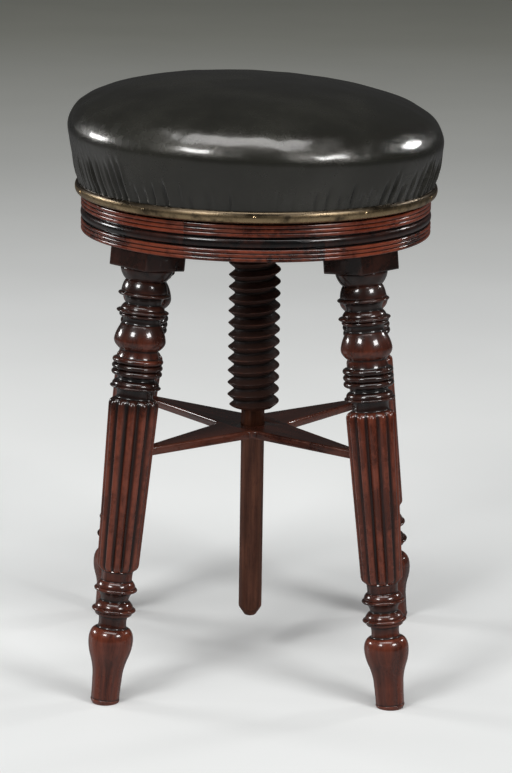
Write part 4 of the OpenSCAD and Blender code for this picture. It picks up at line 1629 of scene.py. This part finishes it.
@dataclass
class SeatPad(SubAssembly):
    """The padded leather seat: swollen as cloth, uneven, leaning and gathered over the bead."""

    body, slot = Body.SEAT, Slot.LEATHER
    finish = BlackLeather()

    sharp: float = math.radians(60)
    hollow_reach: float = 0.0016
    columns: int = 1296
    row_gap: float = 0.0018
    crown_gap: float = 0.0034
    side_length: float = 0.085
    low_end: tuple[float, float] = (0.1635, 0.4622)
    bends: tuple[tuple[float, float], ...] = (
        (-13.5, 1.4174), (-9.5, 0.1491), (-7, 0.0226), (0, 0.0219), (27, 0.0349), (50, 0.0290),
        (62, 0.0712), (75, 0.2453), (90, 0.8146))
    bend_steps: int = 1400
    voxel: float = 0.006
    pressure: float = 4.0
    frames: int = 20
    cap: float = 0.006
    draw_in: float = 0.003
    held_above: float = 0.003
    swell_size: float = 0.00012
    lumps: tuple[tuple[float, float], ...] = ((0.00011, 0.034), (0.00002, 0.013))
    lump_waves: int = 28
    lean: float = math.radians(1.96)
    lean_shift: float = 0.001
    slump: float = 0.0024
    slump_low: float = 0.5015
    slump_rise: float = 0.026
    slump_reach: float = 0.085
    slump_width: float = 0.07
    slump_front: float = 0.6
    fold_deep_mm: tuple[float, float] = (1.6, 4.1)
    fold_wide_mm: tuple[float, float] = (1.2, 2.3)
    fold_tall: tuple[float, float] = (0.020, 0.050)
    fold_gap: tuple[float, float] = (0.0062, 0.0125)
    fold_slant: float = 0.30
    fill: float = 0.95
    seed: int = 7

    def outline(self) -> np.ndarray:
        """Sets out the pad's outside from how sharply it bends at each elevation.

        Returns:
            Radius and height of each point, from the bead's top to the middle of the crown.
        """
        at, size = np.array(self.bends).T
        turns = np.radians(np.linspace(at[0], at[-1], self.bend_steps + 1))
        middle = (turns[1:] + turns[:-1]) / 2
        arc = np.exp(np.interp(middle, np.radians(at), np.log(size))) * np.diff(turns)
        radius = self.low_end[0] + np.append(0, np.cumsum(-arc * np.sin(middle)))
        height = self.low_end[1] + np.append(0, np.cumsum(arc * np.cos(middle)))
        keep = radius > 0.002
        radius, height = np.append(radius[keep], 0.0), np.append(height[keep], height[keep][-1])
        run = np.append(0, np.cumsum(np.hypot(np.diff(radius), np.diff(height))))
        side = np.arange(0, self.side_length, self.row_gap)
        crown = np.linspace(self.side_length, run[-1],
                            round((run[-1] - self.side_length) / self.crown_gap))
        where = np.append(side, crown)
        return np.stack([np.interp(where, run, radius), np.interp(where, run, height)], 1)

    def swollen(self, pad: Object, outline: np.ndarray) -> np.ndarray:
        """Blows up a copy of the pad as cloth and gives how unevenly it swells.

        Args:
            pad: The pad as turned.
            outline: Its outside.

        Returns:
            For each point of the pad, how far it swells beyond the mean of its own row.
        """
        twin = copied(pad, "pad_cloth")
        places = points_of(twin) - normals_of(twin) * self.draw_in
        twin.data.vertices.foreach_set("co", places.astype(np.float32).ravel())
        even = twin.modifiers.new("even", "REMESH")
        even.mode, even.voxel_size = "VOXEL", self.voxel
        apply(twin, even)
        was, ways = points_of(twin), normals_of(twin)
        held = twin.vertex_groups.new(name="held")
        low = self.plan.bead_top + self.held_above
        held.add([k for k, z in enumerate(was[:, 2].tolist()) if z < low], 1.0, "REPLACE")
        swell = twin.modifiers.new("swell", "CLOTH")
        swell.settings.use_pressure = True
        swell.settings.uniform_pressure_force = self.pressure
        swell.settings.effector_weights.gravity = 0.0
        swell.settings.vertex_group_mass = held.name
        for frame in range(1, self.frames + 1):
            bpy.context.scene.frame_set(frame)
        apply(twin, swell)
        bpy.context.scene.frame_set(1)
        moved = points_of(twin) - was
        length = np.linalg.norm(moved, axis=1)
        moved *= np.minimum(1.0, self.cap / np.maximum(length, 1e-9))[:, None]
        out = (moved * ways).sum(1)
        reach = np.hypot(was[:, 0], was[:, 1])
        row = np.array([np.argmin((outline[:, 0] - r) ** 2 + (outline[:, 1] - z) ** 2) // 4
                        for r, z in zip(reach, was[:, 2])])
        count = np.bincount(row)
        out -= (np.bincount(row, out) / np.maximum(count, 1))[row]
        LOG.info("pad: %d points swelled by %.1f mm, uneven by %.2f mm", len(was),
                 1000 * length.mean(), 1000 * out.std())
        tree = KDTree(len(was))
        for k, place in enumerate(was):
            tree.insert(place, k)
        tree.balance()
        given = np.zeros(len(places))
        for k, place in enumerate(places):
            near = tree.find_n(place, 7)
            weight = [1 / (far * far + 2e-5) for _, _, far in near]
            given[k] = sum(w * out[n[1]] for w, n in zip(weight, near)) / sum(weight)
        delete(twin)
        return given

    def waves(self, places: np.ndarray, length: float, seed: int) -> np.ndarray:
        """Gives a smooth seeded unevenness with a standard deviation of one.

        Args:
            places: Points, one row each.
            length: Mean length of the waves.
            seed: Number that picks the waves.

        Returns:
            The unevenness at each point.
        """
        rng = np.random.default_rng(seed)
        total = np.zeros(len(places))
        for _ in range(self.lump_waves):
            way = rng.normal(size=3)
            way *= FULL_TURN / (length * rng.uniform(0.7, 1.5)) / np.linalg.norm(way)
            total += np.sin(places @ way + rng.uniform(0, FULL_TURN))
        return total / math.sqrt(self.lump_waves / 2)

    def gathers(self, places: np.ndarray) -> np.ndarray:
        """Gives how deep the leather is drawn in along its gathers over the bead.

        Args:
            places: Points of the pad, one row each.

        Returns:
            Depth at each point, above zero where it is drawn in.
        """
        rng = np.random.default_rng(self.seed)
        around = np.arctan2(places[:, 0], -places[:, 1])
        rise = places[:, 2] - self.plan.bead_top
        girth = self.low_end[0]
        depth = np.zeros(len(places))
        at = -math.pi
        while at < math.pi:
            side = abs(math.sin(at))
            deep = rng.uniform(*self.fold_deep_mm) * MM * (0.30 + 0.70 * side ** 1.5)
            wide = rng.uniform(*self.fold_wide_mm) * MM
            tall = rng.uniform(*self.fold_tall) * (0.5 + 0.5 * side)
            slant = self.fold_slant * math.sin(at) + rng.uniform(-0.06, 0.06)
            off = around - at - slant * np.clip(rise, 0, None) / girth + math.pi
            off = (off % FULL_TURN - math.pi) * girth
            near = np.abs(off) < 6 * wide
            fold = (np.exp(-(off[near] / wide) ** 2)
                    - 0.45 * np.exp(-((off[near] - 1.9 * wide) / (1.5 * wide)) ** 2))
            depth[near] += deep * eased((tall - rise) / (0.6 * tall))[near] * fold
            at += rng.uniform(*self.fold_gap) / girth / (0.5 + 0.5 * side)
        return depth

    def slumped(self, places: np.ndarray) -> np.ndarray:
        """Gives how far the front shoulder has sunk in under the sitter's legs.

        Args:
            places: Points of the pad, one row each.

        Returns:
            The depth at each point.
        """
        reach = np.maximum(np.hypot(places[:, 0], places[:, 1]), 1e-6)
        depth = np.full(len(places), self.slump)
        for share in ((places[:, 2] - self.slump_low) / self.slump_rise,
                      (reach - self.slump_reach) / self.slump_width,
                      -places[:, 1] / reach / self.slump_front):
            depth *= eased(share)
        return depth

    def build(self) -> None:
        """Turns the pad, swells it, and works in its lumps, gathers and lean."""
        plan = self.plan
        outline = self.outline()
        under = plan.seat_under + plan.seat_board_t + 2 * plan.cover_gap
        board = plan.seat_board_r + plan.cover_gap
        rows = [(0.0, under), (board, under), (board, plan.bead_z),
                (plan.leather_low_r, plan.bead_z), *map(tuple, outline.tolist())]
        pad = turned("seat_pad_leather", rows, self.columns)
        ways, places = normals_of(pad), points_of(pad).astype(float)
        z = places[:, 2].copy()
        inside = np.hypot(places[:, 0], places[:, 1]) < board + 1e-4
        free = np.clip((z - plan.bead_top) / 0.012, 0, 1)
        free[(z < under + 1e-4) & inside] = 0
        out = sum(size * self.waves(places, length, self.seed + k)
                  for k, (size, length) in enumerate(self.lumps))
        swell = self.swollen(pad, outline)
        out += swell * min(1.0, self.swell_size / max(float(swell[free > 0.5].std()), 1e-9))
        out -= self.slumped(places)
        low = (z > plan.bead_z + 0.001) & (z < plan.wide_z + 0.01) & ~inside
        drawn = np.where(low, self.gathers(places), 0.0)
        hold = np.clip((z - plan.bead_top + 0.006) / 0.014, 0, 1)
        places += ways * (out * free - drawn * hold)[:, None]
        share = (places[:, 2] - plan.bead_top) / (plan.wide_z - plan.bead_top)
        share = eased(share) * (free > 0)
        places[:, 2] -= places[:, 0] * math.tan(self.lean) * share
        places[:, 0] -= self.lean_shift * share
        move_points(pad, places)
        self.dress(pad, "leather_cover", "wadding_layer", "horsehair_stuffing")


@dataclass
class BrassBead(SubAssembly):
    """The hollow half-round bead over the leather's lower edge."""

    body, slot, finish = Body.SEAT, Slot.BRASS, BRASS

    sharp: float = math.radians(40)
    wall: float = 0.0013
    channel: float = 0.0054
    steps: int = 288

    def lay_wear_and_shade(self, obj: Object) -> None:
        """Lays the bead's upper part as a hollow, so that it is painted darker: a painted
        reflection of the dark leather above it.
        """
        up = (points_of(obj)[:, 2] - self.plan.bead_z) / (self.plan.bead_h / 2)
        lay(obj, "hollow", np.clip(up - 0.15, 0, 0.5))

    def build(self) -> None:
        """Spins the bead from its hollow section."""
        plan, z, back = self.plan, self.plan.bead_z, self.plan.bead_back_r
        face = ellipse(back, z, plan.bead_t, plan.bead_h / 2, range(-90, 91, 9))
        inner = back + plan.bead_t - self.wall
        high, low = z + self.channel / 2, z - self.channel / 2
        outline = [*face, (back, high), (inner, high), (inner, low), (back, low)]
        self.dress(turned("brass_bead_rolled", outline, self.steps, closed=True), "brass_beading")


@dataclass
class BeadPins(SubAssembly):
    """The domed pins that hold the bead."""

    body, slot, finish = Body.SEAT, Slot.BRASS, BRASS

    sharp: float = math.radians(40)
    hollow_reach: float = 0.001
    pins: int = 10
    head_r: float = 0.0018
    shank_r: float = 0.0008
    dome: float = 0.4

    def build(self) -> None:
        """Turns one pin with its domed head and copies it round the bead."""
        plan, r, shank = self.plan, self.head_r, self.shank_r
        dome = ellipse(0.0, 0.00005, r, self.dome * r, range(90, -1, -10))
        pin = turned("bead_pin", [(0.0, dome[0][1]), *dome[1:], (r, -0.0003), (shank, -0.0003),
                                  (shank, -0.012), (0.0, -0.0145)], 32)
        copies = []
        for k in range(self.pins):
            copies.append(copied(pin, "bead_pin_copy"))
            settle(copies[-1], Matrix.Rotation(FRONT + FULL_TURN / self.pins * k, 4, "Z")
                   @ Matrix.Translation((plan.bead_back_r + plan.bead_t, 0, plan.bead_z))
                   @ Matrix.Rotation(math.pi / 2, 4, "Y"))
        delete(pin)
        self.dress(join("bead_pins_domed", copies), "beading_pins")


@dataclass
class Hidden:
    """The frame's own pieces that stay, dressed in their finishes."""

    finishes: ClassVar[dict[str, Finish]] = {
        "base_board": BOARD, "seat_board": BOARD, "screw_nut": NUT, "nut_screws": IRON,
        "screw_head_screws": IRON, "leather_tacks": IRON, "stop_washer": HIDE,
        "tenon_wedges": WEDGE}

    def build(self) -> None:
        """Gives every node that stays its finish."""
        for name, finish in self.finishes.items():
            node = frame["nodes"][name]
            node.data.materials.clear()
            node.data.materials.append(finish.material())
            LOG.info("%s: dressed in %s", name, finish.name)


@dataclass
class Studio:
    """The pale floor, the soft lamps and the camera at the photograph's angle.

    A lamp's row holds its name, azimuth from the front and elevation in degrees, distance,
    level and upright side, and watts.
    """

    stand: float = 2.55128
    height: float = 0.89588
    focal_px: float = 2805.28
    image_long: int = 773
    sensor_mm: float = 36.0
    pitch: float = 0.241795
    pan: float = 0.0010054
    roll: float = 0.0151612
    turn: float = 0.0079276
    floor_r: float = 40.0
    lit: tuple[float, float, float] = (0, 0, 0.33)
    lamps: tuple[tuple[str, float, float, float, float, float, float], ...] = (
        ("lamp_left_back", -109, 16, 2.4, 0.6, 0.4, 15),
        ("lamp_front_left", -37, 36, 2.4, 0.65, 0.5, 24),
        ("lamp_front_right", 48, 32, 2.4, 0.75, 0.5, 25),
        ("lamp_right_back", 118, 25, 2.4, 0.3, 0.2, 7),
        ("lamp_above", -8, 71, 2.2, 2.2, 0.85, 30))

    def camera(self) -> None:
        """Sets up the camera that the photograph was fitted with."""
        cp, sp = math.cos(self.pitch), math.sin(self.pitch)
        cq, sq = math.cos(self.pan), math.sin(self.pan)
        cr, sr = math.cos(self.roll), math.sin(self.roll)
        ahead = Vector((sq * cp, cq * cp, -sp))
        right = Vector((cq, -sq, 0))
        down = ahead.cross(right)
        axes = Matrix((right * cr - down * sr, -(right * sr + down * cr), -ahead)).transposed()
        bpy.ops.object.camera_add()
        camera = bpy.context.object
        camera.name = "photo_camera"
        camera.data.sensor_fit = "AUTO"
        camera.data.sensor_width = self.sensor_mm
        camera.data.lens = self.focal_px * self.sensor_mm / self.image_long
        camera.data.clip_end = 200.0
        about = Matrix.Rotation(self.turn, 4, "Z")
        stand = Matrix.Translation((0, -self.stand, self.height))
        camera.matrix_world = about @ stand @ axes.to_4x4()
        bpy.context.scene.camera = camera

    def floor(self) -> None:
        """Lays the pale floor."""
        clear()
        bpy.ops.mesh.primitive_circle_add(vertices=128, radius=self.floor_r, fill_type="NGON")
        floor = bpy.context.object
        floor.name = "pale_floor"
        floor.data.materials.append(PaleFloor().material())

    def lamp(self, name: str, azimuth: float, rise: float, away: float, wide: float, tall: float,
             power: float) -> None:
        """Hangs one soft rectangular lamp that looks at the stool.

        Args:
            name: Name of the lamp.
            azimuth: Angle from the front, counter-clockwise seen from above, in degrees.
            rise: Elevation in degrees.
            away: Distance from the stool's middle.
            wide: Level side of the lamp.
            tall: Upright side of the lamp.
            power: Power in watts.
        """
        a, e = math.radians(azimuth), math.radians(rise)
        way = Vector((math.sin(a) * math.cos(e), -math.cos(a) * math.cos(e), math.sin(e)))
        bpy.ops.object.light_add(type="AREA", location=Vector(self.lit) + way * away)
        lamp = bpy.context.object
        lamp.name = name
        lamp.rotation_euler = way.to_track_quat("Z", "Y").to_euler()
        lamp.data.shape = "RECTANGLE"
        lamp.data.size, lamp.data.size_y = wide, tall
        lamp.data.energy = power
        lamp.visible_camera = False

    def world(self) -> None:
        """Sets the plain grey surroundings, darker in gloss and lighter to the camera."""
        world = bpy.data.worlds.new("studio_grey")
        bpy.context.scene.world = world
        world.use_nodes = True
        r = Recipe(world.node_tree)
        rays = r.add("LightPath").outputs
        grey = r.mix(rays["Is Glossy Ray"], (0.135, 0.135, 0.137), (0.035, 0.035, 0.035))
        light = r.add("Background", {"Color": grey, "Strength": 1.0})
        seen = r.add("Background", {"Color": (0.16, 0.16, 0.165, 1), "Strength": 1.0})
        both = r.add("MixShader", {0: rays["Is Camera Ray"], 1: light.outputs[0],
                                   2: seen.outputs[0]})
        r.add("OutputWorld", {0: both.outputs[0]})

    def build(self) -> None:
        """Sets the floor, the lamps, the surroundings and the camera."""
        bpy.context.scene.view_settings.view_transform = "Standard"
        self.floor()
        for row in self.lamps:
            self.lamp(*row)
        self.world()
        self.camera()


def main() -> None:
    """Builds the stool piece by piece."""
    logging.basicConfig(level=logging.INFO, format="%(message)s")
    Studio().build()
    Hidden().build()
    plan = StoolPlan()
    for part in (SeatPad, BrassBead, BeadPins, BaseRing, WoodScrew, Stretcher, Legs):
        part(plan).build()


if __name__ == "__main__":
    main()
